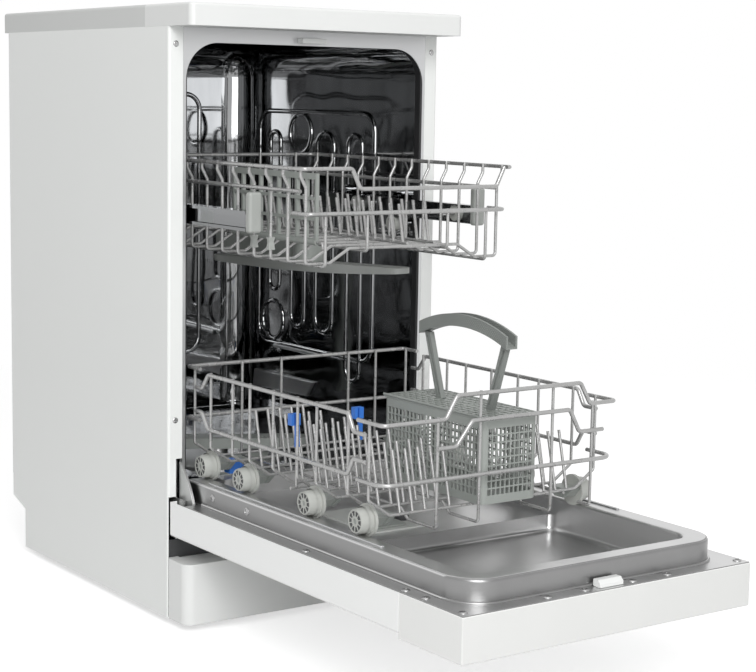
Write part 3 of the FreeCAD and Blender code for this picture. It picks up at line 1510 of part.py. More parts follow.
# Detergent dispenser with its sliding lid and the rinse aid cap
dispenser_top = well_floor + dispenser_flange
dispenser = fused(
    block(dispenser_x_limits, dispenser_y_limits, (well_floor, dispenser_top)),
    block(box_x, box_y, (well_floor - dispenser_depth, dispenser_top)),
)
cup_x = box_x[0] + cup_half_width + 2 * dispenser_flange
cup_y = box_y[0] + cup_half_length + 2 * dispenser_flange
dispenser = dispenser.cut(block(
    (cup_x - cup_half_width, cup_x + cup_half_width),
    (cup_y - cup_half_length, cup_y + cup_half_length),
    (dispenser_top - cup_depth, dispenser_top + 1),
))
rinse_x = box_x[1] - rinse_cap_radius
save("dispenser_body", dispenser)
lid_low = dispenser_top + seat_gap
dispenser_lid = block(
    (cup_x - cup_half_width - 2, cup_x + cup_half_width + 2),
    (cup_y - cup_half_length - 2, cup_y + cup_half_length + 2),
    (lid_low, lid_low + lid_thickness),
)
save("dispenser_lid", round_edges(dispenser_lid, 2 * lid_thickness, Z_AXIS))
rinse_cap = upright(rinse_x, cup_y, (lid_low, lid_low + rinse_cap_height), rinse_cap_radius)
rinse_slot = block(
    (rinse_x - rinse_cap_radius, rinse_x + rinse_cap_radius),
    (cup_y - 1, cup_y + 1),
    (lid_low + rinse_cap_height - 2, lid_low + rinse_cap_height + 1),
)
save("rinse_aid_cap", rinse_cap.cut(rinse_slot))

# Door latch at the free end
latch_low = flange_top + seat_gap
latch_front = -door_reach + 2 * fascia_wall
latch_back = rim_front - 3 * door_sheet
heel_y = latch_back - latch_heel
heel_z = latch_low + latch_heel
latch = side_plate([
    (latch_front, latch_low),
    (heel_y, latch_low),
    (latch_back, heel_z),
    (latch_back, latch_low + latch_height),
    (latch_front + latch_height / 2, latch_low + latch_height),
    (latch_front, latch_low + latch_height / 2),
], (-latch_half, latch_half))
save("door_latch", fused(latch, across((-latch_half, latch_half), heel_y, heel_z, latch_heel)))

# Hinge arms on the door: a fan-shaped plate round the pin and a bar inside the door
fan_back = pillar_y - 2.5
fan_front = hinge_y - 27
arms = []
for side in BOTH_SIDES:
    x = side * hinge_arm_inner
    thick = V(side * hinge_arm_thickness, 0, 0)
    low = hinge_z - 2 * ear
    fan_top = V(x, fan_back, hinge_notch_top - 4)
    fan_toe = V(x, fan_front, door_edge + 2)
    fan_middle = V(x, (fan_back + fan_front) / 2 - 3, (fan_top.z + fan_toe.z) / 2 + 3)
    edges = [
        Part.Arc(fan_top, fan_middle, fan_toe).toShape(),
        Part.LineSegment(fan_toe, V(x, fan_front, low)).toShape(),
        Part.LineSegment(V(x, fan_front, low), V(x, fan_back, low)).toShape(),
        Part.LineSegment(V(x, fan_back, low), fan_top).toShape(),
    ]
    fan = Part.Face(Part.Wire(edges)).extrude(thick)
    arm_bar = block(
        (side * hinge_arm_inner, side * (hinge_arm_inner + hinge_arm_thickness)),
        (fan_front - hinge_arm_length, fan_front + 5),
        (low, door_edge - seat_gap),
    )
    arm = fused(fan, arm_bar)
    bore_x = (x - side, x + side * (hinge_arm_thickness + 1))
    bore = across(bore_x, hinge_y, hinge_z, hinge_pin_radius + running_gap)
    arms.append(arm.cut(bore))
save("hinge_arms", *arms)

# Screws: pillar screws on the cabinet, then flange and rim screws on the door
pillar_screw_x = (pillar_inner + cabinet_half) / 2
cabinet_screws = []
for side in BOTH_SIDES:
    for z in pillar_screw_z:
        x = side * pillar_screw_x
        cabinet_screws.append(along(x, (pillar_y - screw_head, pillar_y), z, pillar_screw_radius))
save("cabinet_screws", *cabinet_screws)
door_screws = []
flange_screw_x = (rim_half + door_half) / 2 + 2
for side in BOTH_SIDES:
    for y in door_side_screw_y:
        x = side * flange_screw_x
        door_screws.append(upright(x, y, (flange_top, flange_top + screw_head), screw_radius))
    for y in rim_screw_y:
        z = (flange_top + track_height) / 2
        door_screws.append(across((side * rim_half, side * (rim_half + screw_head)), y, z, screw_radius))
for x in door_end_screw_x:
    y = (rim_front - door_reach) / 2
    door_screws.append(upright(x, y, (flange_top, flange_top + screw_head), screw_radius))
save("door_screws", *door_screws)
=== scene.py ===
import json
import math

import bmesh
import bpy
from mathutils import Matrix, Vector


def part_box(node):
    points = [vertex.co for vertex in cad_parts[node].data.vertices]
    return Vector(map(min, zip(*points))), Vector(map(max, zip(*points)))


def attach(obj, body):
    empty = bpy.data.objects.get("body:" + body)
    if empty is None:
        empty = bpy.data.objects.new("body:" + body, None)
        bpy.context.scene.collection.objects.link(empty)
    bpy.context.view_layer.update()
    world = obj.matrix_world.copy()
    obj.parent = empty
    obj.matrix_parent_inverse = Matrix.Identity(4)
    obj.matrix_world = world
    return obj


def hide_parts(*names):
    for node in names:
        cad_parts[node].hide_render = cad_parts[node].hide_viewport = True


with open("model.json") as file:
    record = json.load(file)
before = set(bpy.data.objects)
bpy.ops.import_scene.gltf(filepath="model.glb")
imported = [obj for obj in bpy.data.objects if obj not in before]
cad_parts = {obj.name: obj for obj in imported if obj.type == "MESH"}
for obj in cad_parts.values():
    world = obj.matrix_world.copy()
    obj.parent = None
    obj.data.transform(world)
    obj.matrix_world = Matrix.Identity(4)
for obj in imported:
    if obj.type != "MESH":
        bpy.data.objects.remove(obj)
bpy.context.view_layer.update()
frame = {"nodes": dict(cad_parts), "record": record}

# Base tray and levelling feet: one dark polypropylene moulding stands on four feet and carries the pumps.
# The feet are moulded too, with a threaded stem that screws up into the tray's corner posts.
def worked_surface(name, colour, roughness, cloud=0.06, clouding=0.04, rub=0.06, grain=0.0012, depth=0.00002,
                   metallic=0.0, stretch=(1.0, 1.0, 1.0), swell=0.0, outer_wall=None, painted_wall_shade=0.42):
    """A finish with slow tone changes, faint rub marks and a fine grain.

    A swell bends what it reflects, and walls that face outward beyond outer_wall are darkened by painted
    shade.
    """
    noise_low, noise_high, swell_size = 0.3, 0.7, 0.1
    finish = bpy.data.materials.new(name)
    finish.use_nodes = True
    tree = finish.node_tree
    shader = tree.nodes["Principled BSDF"]
    shader.inputs["Metallic"].default_value = metallic
    place = tree.nodes.new("ShaderNodeTexCoord")
    along_grain = tree.nodes.new("ShaderNodeMapping")
    along_grain.inputs["Scale"].default_value = stretch
    tree.links.new(place.outputs["Object"], along_grain.inputs["Vector"])
    clouds = tree.nodes.new("ShaderNodeTexNoise")
    clouds.inputs["Scale"].default_value = 1.0 / cloud
    clouds.inputs["Detail"].default_value = 5.0
    tree.links.new(along_grain.outputs["Vector"], clouds.inputs["Vector"])
    tones = tree.nodes.new("ShaderNodeValToRGB")
    tones.color_ramp.elements[0].position = noise_low
    tones.color_ramp.elements[1].position = noise_high
    tones.color_ramp.elements[0].color = [c * (1.0 - clouding) for c in colour] + [1.0]
    tones.color_ramp.elements[1].color = [min(1.0, c * (1.0 + clouding)) for c in colour] + [1.0]
    tree.links.new(clouds.outputs["Fac"], tones.inputs["Fac"])
    tone = tones.outputs["Color"]
    # Painted shade: walls that face outward beyond outer_wall get their colour scaled down to a darker tone.
    if outer_wall:
        plan = tree.nodes.new("ShaderNodeVectorMath")
        plan.operation = "MULTIPLY"
        plan.inputs[1].default_value = (1.0, 1.0, 0.0)
        tree.links.new(place.outputs["Object"], plan.inputs[0])
        beyond = tree.nodes.new("ShaderNodeVectorMath")
        beyond.operation = "DOT_PRODUCT"
        tree.links.new(plan.outputs["Vector"], beyond.inputs[0])
        tree.links.new(place.outputs["Normal"], beyond.inputs[1])
        wall_shading = tree.nodes.new("ShaderNodeMapRange")
        wall_shading.inputs["From Min"].default_value = 0.9 * outer_wall
        wall_shading.inputs["From Max"].default_value = outer_wall
        wall_shading.inputs["To Min"].default_value = 1.0
        wall_shading.inputs["To Max"].default_value = painted_wall_shade
        tree.links.new(beyond.outputs["Value"], wall_shading.inputs["Value"])
        shade = tree.nodes.new("ShaderNodeVectorMath")
        shade.operation = "SCALE"
        tree.links.new(tone, shade.inputs[0])
        tree.links.new(wall_shading.outputs["Result"], shade.inputs["Scale"])
        tone = shade.outputs["Vector"]
    tree.links.new(tone, shader.inputs["Base Color"])
    rubbed = tree.nodes.new("ShaderNodeMapRange")
    rubbed.inputs["From Min"].default_value = noise_low
    rubbed.inputs["From Max"].default_value = noise_high
    rubbed.inputs["To Min"].default_value = max(0.02, roughness - rub)
    rubbed.inputs["To Max"].default_value = roughness + rub
    tree.links.new(clouds.outputs["Fac"], rubbed.inputs["Value"])
    tree.links.new(rubbed.outputs["Result"], shader.inputs["Roughness"])
    fine = tree.nodes.new("ShaderNodeTexNoise")
    fine.inputs["Scale"].default_value = 1.0 / grain
    fine.inputs["Detail"].default_value = 2.0
    tree.links.new(along_grain.outputs["Vector"], fine.inputs["Vector"])
    relief = tree.nodes.new("ShaderNodeBump")
    relief.name = "relief"
    relief.inputs["Strength"].default_value = 1.0
    relief.inputs["Distance"].default_value = depth
    tree.links.new(fine.outputs["Fac"], relief.inputs["Height"])
    tree.links.new(relief.outputs["Normal"], shader.inputs["Normal"])
    if swell:
        waves = tree.nodes.new("ShaderNodeTexNoise")
        waves.inputs["Scale"].default_value = 1.0 / swell_size
        waves.inputs["Detail"].default_value = 1.0
        tree.links.new(place.outputs["Object"], waves.inputs["Vector"])
        bulge = tree.nodes.new("ShaderNodeBump")
        bulge.inputs["Strength"].default_value = 1.0
        bulge.inputs["Distance"].default_value = swell
        tree.links.new(waves.outputs["Fac"], bulge.inputs["Height"])
        tree.links.new(bulge.outputs["Normal"], relief.inputs["Normal"])
    return finish


def dress(finish, *names):
    """Puts a finish on CAD nodes that keep their own shape."""
    for name in names:
        for holder in frame["nodes"][name].material_slots:
            holder.material = finish


dark_plastic = worked_surface("dark_moulding", (0.045, 0.046, 0.048), 0.5)
dress(dark_plastic, "base_tray", "levelling_feet")

# Side panels: white enamelled sheet steel, each folded inward at the front into the pillar beside the door,
# notched for the hinge and screwed to the tray and the tub frame. The fold has a small radius.
def enamel(name, colour):
    """Smooth stoved enamel on sheet steel."""
    return worked_surface(name, colour, 0.32, cloud=0.5, clouding=0.006, rub=0.012, grain=0.004,
                          depth=0.00001)


def joined_copy(name):
    """A CAD node's mesh with its triangles joined into whole faces."""
    weld, flat = 0.000003, math.radians(0.5)
    plain = frame["nodes"][name].data.copy()
    plain.attributes.remove(plain.attributes["custom_normal"])
    shape = bmesh.new()
    shape.from_mesh(plain)
    bpy.data.meshes.remove(plain)
    bmesh.ops.remove_doubles(shape, verts=shape.verts, dist=weld)
    bmesh.ops.dissolve_limit(shape, angle_limit=flat, verts=shape.verts, edges=shape.edges)
    return shape


def sharp_edges(shape, degrees=35.0):
    """The edges at which a shape turns by more than some degrees."""
    return [edge for edge in shape.edges if edge.calc_face_angle(0.0) > math.radians(degrees)]


def ease(shape, edges, radius, steps, clamped=True):
    """Rounds edges of a shape."""
    bmesh.ops.bevel(shape, geom=edges, offset=radius, segments=steps, profile=0.5, affect="EDGES",
                    clamp_overlap=clamped, material=-1)


def piece_from(shape, name, finish, body=None, replaced=None, crease=40.0):
    """Turns a finished bmesh into a piece that rides on its body, smooth but for its creases."""
    for face in shape.faces:
        face.smooth = True
        face.material_index = 0
    for edge in shape.edges:
        edge.smooth = edge.calc_face_angle(math.pi) < math.radians(crease)
    mesh = bpy.data.meshes.new(name)
    shape.to_mesh(mesh)
    shape.free()
    mesh.materials.clear()
    mesh.materials.append(finish)
    piece = bpy.data.objects.new(name, mesh)
    bpy.context.scene.collection.objects.link(piece)
    even = piece.modifiers.new("even_shading", "WEIGHTED_NORMAL")
    even.keep_sharp = True
    if replaced:
        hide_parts(replaced)
        body = next(b for b, held in frame["record"]["behaviour"]["bodies"].items() if replaced in held)
    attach(piece, body)


def eased_copy(name, finish, slot, *eases):
    """A CAD node's shape with picked sharp edges rounded, in the node's place."""
    shape = joined_copy(name)
    for radius, steps, picked in eases:
        ease(shape, [edge for edge in sharp_edges(shape) if picked is None or picked(edge)], radius, steps)
    piece_from(shape, name + "_eased", finish, replaced=name)


white_enamel = enamel("white_enamel", (0.83, 0.845, 0.83))
hairline, pillar_fold = 0.0002, 0.0016
for panel in ("left_side_panel", "right_side_panel"):
    low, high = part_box(panel)
    outer = max(-low.x, high.x)
    eased_copy(panel, white_enamel, "white_enamel", (pillar_fold, 3, lambda edge: all(
        vert.co.y < low.y + hairline and abs(vert.co.x) > outer - hairline for vert in edge.verts)))

# Rear panel: a plain galvanised sheet screwed across the back of the side panels.
# The zinc shows the flat crystals of the dip, and the sheet is left unpainted.
galvanised = worked_surface("galvanised_sheet", (0.42, 0.43, 0.44), 0.42, cloud=0.012, clouding=0.16, rub=0.1,
                            grain=0.003, depth=0.00003, metallic=1.0)
dress(galvanised, "rear_panel")

# Worktop and its front trim: a laminated board with eased top edges, and a moulded strip clipped along its
# front edge that wraps a little way back along both sides.
white_board = worked_surface("white_laminate", (0.67, 0.68, 0.67), 0.72, cloud=0.2, clouding=0.012, rub=0.03,
                             grain=0.0016, depth=0.00003)
white_board.node_tree.nodes["Principled BSDF"].inputs["Specular IOR Level"].default_value = 0.15
white_plastic = worked_surface("white_moulding", (0.75, 0.76, 0.75), 0.32, cloud=0.1, clouding=0.012,
                               rub=0.05, grain=0.0012, depth=0.000015)
board_top, board_ease, trim_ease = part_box("worktop")[1].z, 0.003, 0.0012
eased_copy("worktop", white_board, "white_board",
           (board_ease, 4, lambda edge: all(vert.co.z > board_top - hairline for vert in edge.verts)))
eased_copy("worktop_front_trim", white_plastic, "white_plastic", (trim_ease, 3, None))

# Plinth: a white moulded kick plate with rounded corners, hooked on tabs of the base tray.
# It stands clear of the floor and its edges are eased by the mould.
plinth_ease = 0.0012
eased_copy("plinth", white_plastic, "white_plastic", (plinth_ease, 3, None))

# Tub: bright stainless sheet, drawn and rolled into a wrapper with a rear wall, a floor pan and a folded
# front frame, all welded together. The wrapper and the rear wall are mirror bright and the frame is satin.
def stainless_sheet(name, colour, roughness, streak, clouding=0.06, swell=0.0, outer_wall=None):
    """Rolled stainless steel with fine streaks along the rolling direction."""
    return worked_surface(name, colour, roughness, cloud=0.05, clouding=clouding, rub=0.03, grain=0.0006,
                          depth=0.000004, metallic=1.0, stretch=streak, swell=swell, outer_wall=outer_wall)


# Painted shade: the mirror steel is darker than stainless steel is, to stand in for the dark inside of the
# tub.
mirror_steel = stainless_sheet("bright_stainless", (0.34, 0.345, 0.35), 0.05, (1.0, 1.0, 0.2), clouding=0.12,
                               swell=0.0016)
# Painted shade: satin steel walls that face outward beyond 0.197 from the middle, such as the door rim's
# outer walls, are darker.
satin_steel = stainless_sheet("satin_stainless", (0.62, 0.62, 0.62), 0.33, (1.0, 0.06, 1.0), outer_wall=0.197)
frame_steel = stainless_sheet("frame_stainless", (0.56, 0.565, 0.57), 0.38, (0.06, 1.0, 1.0))
dress(mirror_steel, "tub_wrapper", "tub_rear_wall", "tub_floor")
dress(frame_steel, "tub_front_frame")

# Rounded rear corner of the tub: the wrapper meets the rear wall in one drawn curve that runs up both sides
# and across the roof, with a ball corner where the curves meet.
def points_of(made):
    """The vertices among what an operator made."""
    return [part for part in made if isinstance(part, bmesh.types.BMVert)]


def edges_of(made):
    """The edges among what an operator made."""
    return [part for part in made if isinstance(part, bmesh.types.BMEdge)]


tub_sheet, floor_gap, corner_radius, merge_gap = 0.0015, 0.001, 0.05, 0.00001
tub_half, tub_back, tub_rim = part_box("tub_floor")[1] + Vector((0.0, 0.0, floor_gap))
tub_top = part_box("tub_wrapper")[1].z - tub_sheet
inner_x, inner_y, inner_z = tub_half - corner_radius, tub_back - corner_radius, tub_top - corner_radius
quarter_turn, turn_steps = math.radians(90), 8
corner = bmesh.new()
start = corner.verts.new((-tub_half, inner_y, tub_rim))
bmesh.ops.spin(corner, geom=[start], cent=(-inner_x, inner_y, tub_rim), axis=(0.0, 0.0, -1.0),
               angle=quarter_turn, steps=turn_steps)
open_end = corner.edges[:]
for move, centre in (((0.0, 0.0, inner_z - tub_rim), (-inner_x, 0.0, inner_z)),
                     ((2 * inner_x, 0.0, 0.0), (inner_x, 0.0, inner_z)),
                     ((0.0, 0.0, tub_rim - inner_z), None)):
    grown = bmesh.ops.extrude_edge_only(corner, edges=open_end)["geom"]
    bmesh.ops.translate(corner, vec=move, verts=points_of(grown))
    open_end = edges_of(grown)
    if centre:
        turned = bmesh.ops.spin(corner, geom=open_end, cent=centre, axis=(0.0, 1.0, 0.0), angle=quarter_turn,
                                steps=turn_steps)["geom_last"]
        open_end = edges_of(turned)
bmesh.ops.remove_doubles(corner, verts=corner.verts, dist=merge_gap)
bmesh.ops.recalc_face_normals(corner, faces=corner.faces)
roof_middle = Vector((0.0, tub_back, tub_top))
middle = min(corner.faces, key=lambda face: (face.calc_center_median() - roof_middle).length)
if middle.normal.y > 0:
    bmesh.ops.reverse_faces(corner, faces=corner.faces)
piece_from(corner, "tub_rear_corner", mirror_steel, "cabinet", crease=60.0)

# Pressed stiffeners of the tub: outlines raised from the side walls and the rear wall by the drawing press,
# a large arch with slots and two round bosses on each side and a tall rectangle at the back.
def stamp(shape, part, place):
    """Adds a finished small form to a larger one at its place."""
    bmesh.ops.transform(part, matrix=place, verts=part.verts)
    held = bpy.data.meshes.new("held")
    part.to_mesh(held)
    part.free()
    shape.from_mesh(held)
    bpy.data.meshes.remove(held)


def laid(across, up, out, spot):
    """The place of a flat form, from the ways its width, its height and its face point."""
    place = Matrix((across, up, out)).transposed().to_4x4()
    place.translation = spot
    return place


def whole(shape):
    """All that a shape is made of."""
    return shape.verts[:] + shape.edges[:] + shape.faces[:]


def rounded_sheet(width, height, radius, steps):
    """A flat rectangle with round corners, lying on z."""
    sheet = bmesh.new()
    bmesh.ops.create_grid(sheet, x_segments=1, y_segments=1, size=0.5)
    bmesh.ops.scale(sheet, vec=(width, height, 1.0), verts=sheet.verts)
    bmesh.ops.bevel(sheet, geom=sheet.verts[:], offset=radius, segments=steps, profile=0.5, affect="VERTICES",
                    material=-1)
    bmesh.ops.remove_doubles(sheet, verts=sheet.verts, dist=merge_gap)
    return sheet


def push(shape, faces, move):
    """Extrudes faces of a shape and moves what grows."""
    grown = bmesh.ops.extrude_face_region(shape, geom=faces)["geom"]
    bmesh.ops.translate(shape, vec=move, verts=points_of(grown))


def pressed_outline(shape, wall, width, height, radius, across, up, band=0.008, rise=0.0035):
    """One raised band round a rounded outline, pressed out of a wall."""
    rib = rounded_sheet(width, height, radius, 8)
    rim = bmesh.ops.inset_region(rib, faces=rib.faces[:], thickness=band, use_boundary=True,
                                 use_even_offset=True)["faces"]
    bmesh.ops.delete(rib, geom=[face for face in rib.faces if face not in rim], context="FACES")
    push(rib, rib.faces[:], (0.0, 0.0, rise))
    crest = [edge for edge in sharp_edges(rib, 60.0) if all(vert.co.z > rise * 0.9 for vert in edge.verts)]
    ease(rib, crest, min(rise, band / 2) * 0.9, 3, clamped=False)
    bmesh.ops.recalc_face_normals(rib, faces=rib.faces)
    if max(rib.faces, key=lambda face: face.calc_center_median().z).normal.z < 0:
        bmesh.ops.reverse_faces(rib, faces=rib.faces)
    stamp(shape, rib, wall @ Matrix.Translation((across, up, -hairline)))


stiffeners = bmesh.new()
side_wall = laid((0.0, 1.0, 0.0), (0.0, 0.0, 1.0), (1.0, 0.0, 0.0), (-tub_half, 0.0, 0.0))
for width, height, radius, across, up in (
        (0.343, 0.395, 0.034, 0.3535, 0.5115),
        (0.072, 0.072, 0.0355, 0.396, 0.670),
        (0.072, 0.072, 0.0355, 0.476, 0.357),
        (0.039, 0.270, 0.019, 0.4725, 0.540),
        (0.048, 0.270, 0.0235, 0.400, 0.484),
        (0.057, 0.329, 0.028, 0.3225, 0.5125),
        (0.046, 0.395, 0.0225, 0.239, 0.4775)):
    pressed_outline(stiffeners, side_wall, width, height, radius, across, up)
mirrored = bmesh.ops.duplicate(stiffeners, geom=whole(stiffeners))["geom"]
bmesh.ops.scale(stiffeners, vec=(-1.0, 1.0, 1.0), verts=points_of(mirrored))
bmesh.ops.reverse_faces(stiffeners, faces=[part for part in mirrored if isinstance(part, bmesh.types.BMFace)])
back_wall = laid((1.0, 0.0, 0.0), (0.0, 0.0, 1.0), (0.0, -1.0, 0.0), (0.0, tub_back, 0.0))
for width, height, radius, across, up in (
        (0.230, 0.440, 0.030, 0.0, 0.514),
        (0.060, 0.300, 0.029, -0.045, 0.520),
        (0.060, 0.300, 0.029, 0.045, 0.520)):
    pressed_outline(stiffeners, back_wall, width, height, radius, across, up)
piece_from(stiffeners, "tub_wall_stiffeners", mirror_steel, "cabinet")

# Side bracket: a folded stainless plate spot welded low on the tub's right wall, under a short rolled ledge.
# Its lower edge slopes so that water runs off it.
bracket = bmesh.new()
plate_corners = ((0.526, 0.267), (0.342, 0.268), (0.361, 0.242), (0.531, 0.237))
ledge_corners = ((0.465, 0.317), (0.335, 0.317), (0.335, 0.311), (0.465, 0.311))
bracket_fold, bracket_ease = 0.006, 0.0018
for corners in (plate_corners, ledge_corners):
    plate = bmesh.new()
    outline = [plate.verts.new((tub_half - hairline, y, z)) for y, z in corners]
    bmesh.ops.contextual_create(plate, geom=outline)
    push(plate, plate.faces[:], (-bracket_fold, 0.0, 0.0))
    bmesh.ops.recalc_face_normals(plate, faces=plate.faces)
    ease(plate, plate.edges[:], bracket_ease, 3)
    stamp(bracket, plate, Matrix.Identity(4))
piece_from(bracket, "tub_side_bracket", frame_steel, "cabinet")

# Seal and striker at the mouth of the tub: a black rubber section pushed into the frame's channel, and a
# white moulded striker screwed above the opening for the door's latch.
rubber = worked_surface("door_seal_rubber", (0.018, 0.018, 0.019), 0.55, clouding=0.1, grain=0.0008)
strike_ease = 0.0008
dress(rubber, "door_gasket")
eased_copy("latch_strike", white_plastic, "white_plastic", (strike_ease, 2, None))

# Hinges: galvanised plates riveted to the tub's foot, fan-shaped arms on the door and a coil spring each
# side. The arms are stamped and zinc plated, with edges tumbled smooth.
plated_steel = worked_surface("zinc_plated_steel", (0.45, 0.455, 0.45), 0.33, cloud=0.03, clouding=0.08,
                              rub=0.08, metallic=1.0)
arm_ease = 0.0008
dress(plated_steel, "hinge_plates", "door_springs")
eased_copy("hinge_arms", plated_steel, "galvanised", (arm_ease, 2, None))

# Cabinet screws: zinc plated pan heads with a cross recess, driven through the pillars into the tub frame.
# Each head is pressed cold, so its crown is domed and its recess has sharp sides.
def separate_boxes(name):
    """The lowest and highest corners of each solid of a CAD node."""
    shape = joined_copy(name)
    waiting = set(shape.verts)
    for first in shape.verts:
        if first not in waiting:
            continue
        waiting.remove(first)
        group = [first]
        for vert in group:
            near = {edge.other_vert(vert) for edge in vert.link_edges} & waiting
            waiting -= near
            group.extend(near)
        yield [Vector([pick(vert.co[axis] for vert in group) for axis in range(3)]) for pick in (min, max)]
    shape.free()


def cross_head(radius, rise):
    """A domed head standing on z, with a cross sunk in its crown."""
    dome = ((1.0, 0.0), (1.0, 0.35), (0.9, 0.72), (0.68, 1.0))
    slot_half, slot_depth = 0.14, 0.6 * rise
    head = bmesh.new()
    outline = [head.verts.new((radius * out, 0.0, rise * up)) for out, up in dome]
    bmesh.ops.spin(head, geom=outline + [head.edges.new(pair) for pair in zip(outline, outline[1:])],
                   cent=(0.0, 0.0, 0.0), axis=(0.0, 0.0, 1.0), angle=math.radians(360), steps=20,
                   use_merge=True)
    crown = [edge for edge in head.edges if edge.is_boundary and edge.verts[0].co.z > rise * 0.9]
    bmesh.ops.edgeloop_fill(head, edges=crown)
    for normal in (Vector((1.0, 0.0, 0.0)), Vector((0.0, 1.0, 0.0))):
        for side in (-slot_half, slot_half):
            crown = [face for face in head.faces if all(vert.co.z > rise * 0.99 for vert in face.verts)]
            around = dict.fromkeys(part for face in crown for part in list(face.edges) + list(face.verts))
            bmesh.ops.bisect_plane(head, geom=crown + list(around), plane_co=normal * side * radius,
                                   plane_no=normal)
    cross = [face for face in head.faces if all(vert.co.z > rise * 0.99 for vert in face.verts)
             and min(abs(face.calc_center_median().x), abs(face.calc_center_median().y)) < 0.1 * radius]
    push(head, cross, (0.0, 0.0, -slot_depth))
    bmesh.ops.delete(head, geom=[face for face in cross if face.is_valid], context="FACES_ONLY")
    bmesh.ops.recalc_face_normals(head, faces=head.faces)
    return head


def screw_set(name, finish, broad=1.0):
    """Cross-headed screws in the places of a CAD node's plain ones, each left at another turn."""
    turn_between = 0.7
    heads = bmesh.new()
    for index, (low, high) in enumerate(separate_boxes(name)):
        size = high - low
        axis = min(range(3), key=lambda i: size[i])
        outward = Vector((0.0, 0.0, 0.0))
        outward[axis] = (1.0 if low.x > 0 else -1.0, -1.0, 1.0)[axis]
        seat = (low + high) / 2 - outward * size[axis] / 2
        place = (Matrix.Translation(seat) @ outward.to_track_quat("Z", "Y").to_matrix().to_4x4()
                 @ Matrix.Rotation(turn_between * index, 4, "Z"))
        stamp(heads, cross_head(broad * max(size) / 2, size[axis]), place)
    piece_from(heads, name + "_crossed", finish, replaced=name)


screw_zinc = worked_surface("screw_zinc", (0.42, 0.42, 0.42), 0.3, cloud=0.01, clouding=0.1, rub=0.1,
                            metallic=1.0)
screw_set("cabinet_screws", screw_zinc)

# Water parts under and in the tub: sump, pumps, valve, softener and feed pipe are mouldings, the filter plate
# is perforated stainless steel, and the salt cap and the fine filter turn out by hand.
def moulding(name, colour, roughness=0.4, clouding=0.05):
    """Plain moulded plastic with a fine spark-eroded grain."""
    return worked_surface(name, colour, roughness, clouding=clouding, grain=0.0009, depth=0.00003)


pump_grey = worked_surface("pump_housing", (0.12, 0.12, 0.125), 0.45)
grey_plastic = moulding("grey_moulding", (0.30, 0.32, 0.302))
dress(dark_plastic, "sump")
dress(pump_grey, "wash_and_drain_pumps")
dress(white_plastic, "inlet_valve", "softener_tank", "salt_cap")
dress(grey_plastic, "feed_pipe", "micro_filter", "lower_spray_arm")
dress(satin_steel, "filter_plate")

# Upper rails: bright rolled stainless channels that run on rollers fixed to the tub's sides, with moulded
# stops clipped over their front ends.
# Painted shade: the rail steel is darker than stainless steel is, to stand in for the dark tub around it.
rail_steel = stainless_sheet("rail_stainless", (0.24, 0.245, 0.25), 0.1, (1.0, 0.05, 1.0), clouding=0.2,
                             swell=0.0006)
wheel_plastic = moulding("wheel_moulding", (0.44, 0.45, 0.425))
stop_plastic = moulding("stop_moulding", (0.36, 0.375, 0.357))
cap_ease = 0.0045
dress(rail_steel, "upper_rails")
eased_copy("rail_end_caps", stop_plastic, "grey_plastic", (cap_ease, 5, None))
dress(wheel_plastic, "tub_rollers", "rack_rollers_front", "rack_rollers_rear")

# Upper rack: steel wire bent, spot welded and dipped in a silver grey nylon coat, with heavier wire for the
# rims. The pegs of the rollers and the rod of the cup shelf are left bare, because they turn in a bore.
def coated_copy(name, coat, bare=None):
    """Rack wires with their coat on, a little thicker than the steel but for the bare places."""
    shape = joined_copy(name)
    bmesh.ops.recalc_face_normals(shape, faces=shape.faces)
    for vert in shape.verts:
        if bare is None or not bare(vert.co):
            vert.co += vert.normal * coat
    piece_from(shape, name + "_coated", rack_coat, replaced=name)


def middle_of(name):
    """The middle of a CAD node's box."""
    low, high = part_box(name)
    return (low + high) / 2


def turns_in_bore(place):
    """Whether a place lies on a roller's peg or on the rod of the cup shelf."""
    on_peg = abs(place.x) > peg_start and abs(place.z - peg_z) < peg_reach
    return on_peg or abs(place.x - rod_x) < rod_reach


rack_coat = worked_surface("silver_coated_wire", (0.38, 0.38, 0.376), 0.28, cloud=0.02, clouding=0.06,
                           rub=0.06, grain=0.0016, depth=0.00001, metallic=0.5)
rack_coat.node_tree.nodes["Principled BSDF"].inputs["Coat Weight"].default_value = 0.4
rack_coat.node_tree.nodes["Principled BSDF"].inputs["Coat Roughness"].default_value = 0.12
peg_start, peg_reach, rod_reach, thick_coat = 0.156, 0.0035, 0.0025, 0.0004
peg_z, rod_x = middle_of("rack_rollers_front").z, middle_of("cup_shelf").x
coated_copy("upper_rack_rims", thick_coat)
coated_copy("upper_rack_wires", thick_coat, turns_in_bore)

# Cup shelf and spray duct: grey mouldings. The shelf folds on a rod of the rack, and the duct is clipped
# under the rack and carries the spray arm.
dress(grey_plastic, "cup_shelf", "upper_spray_manifold")

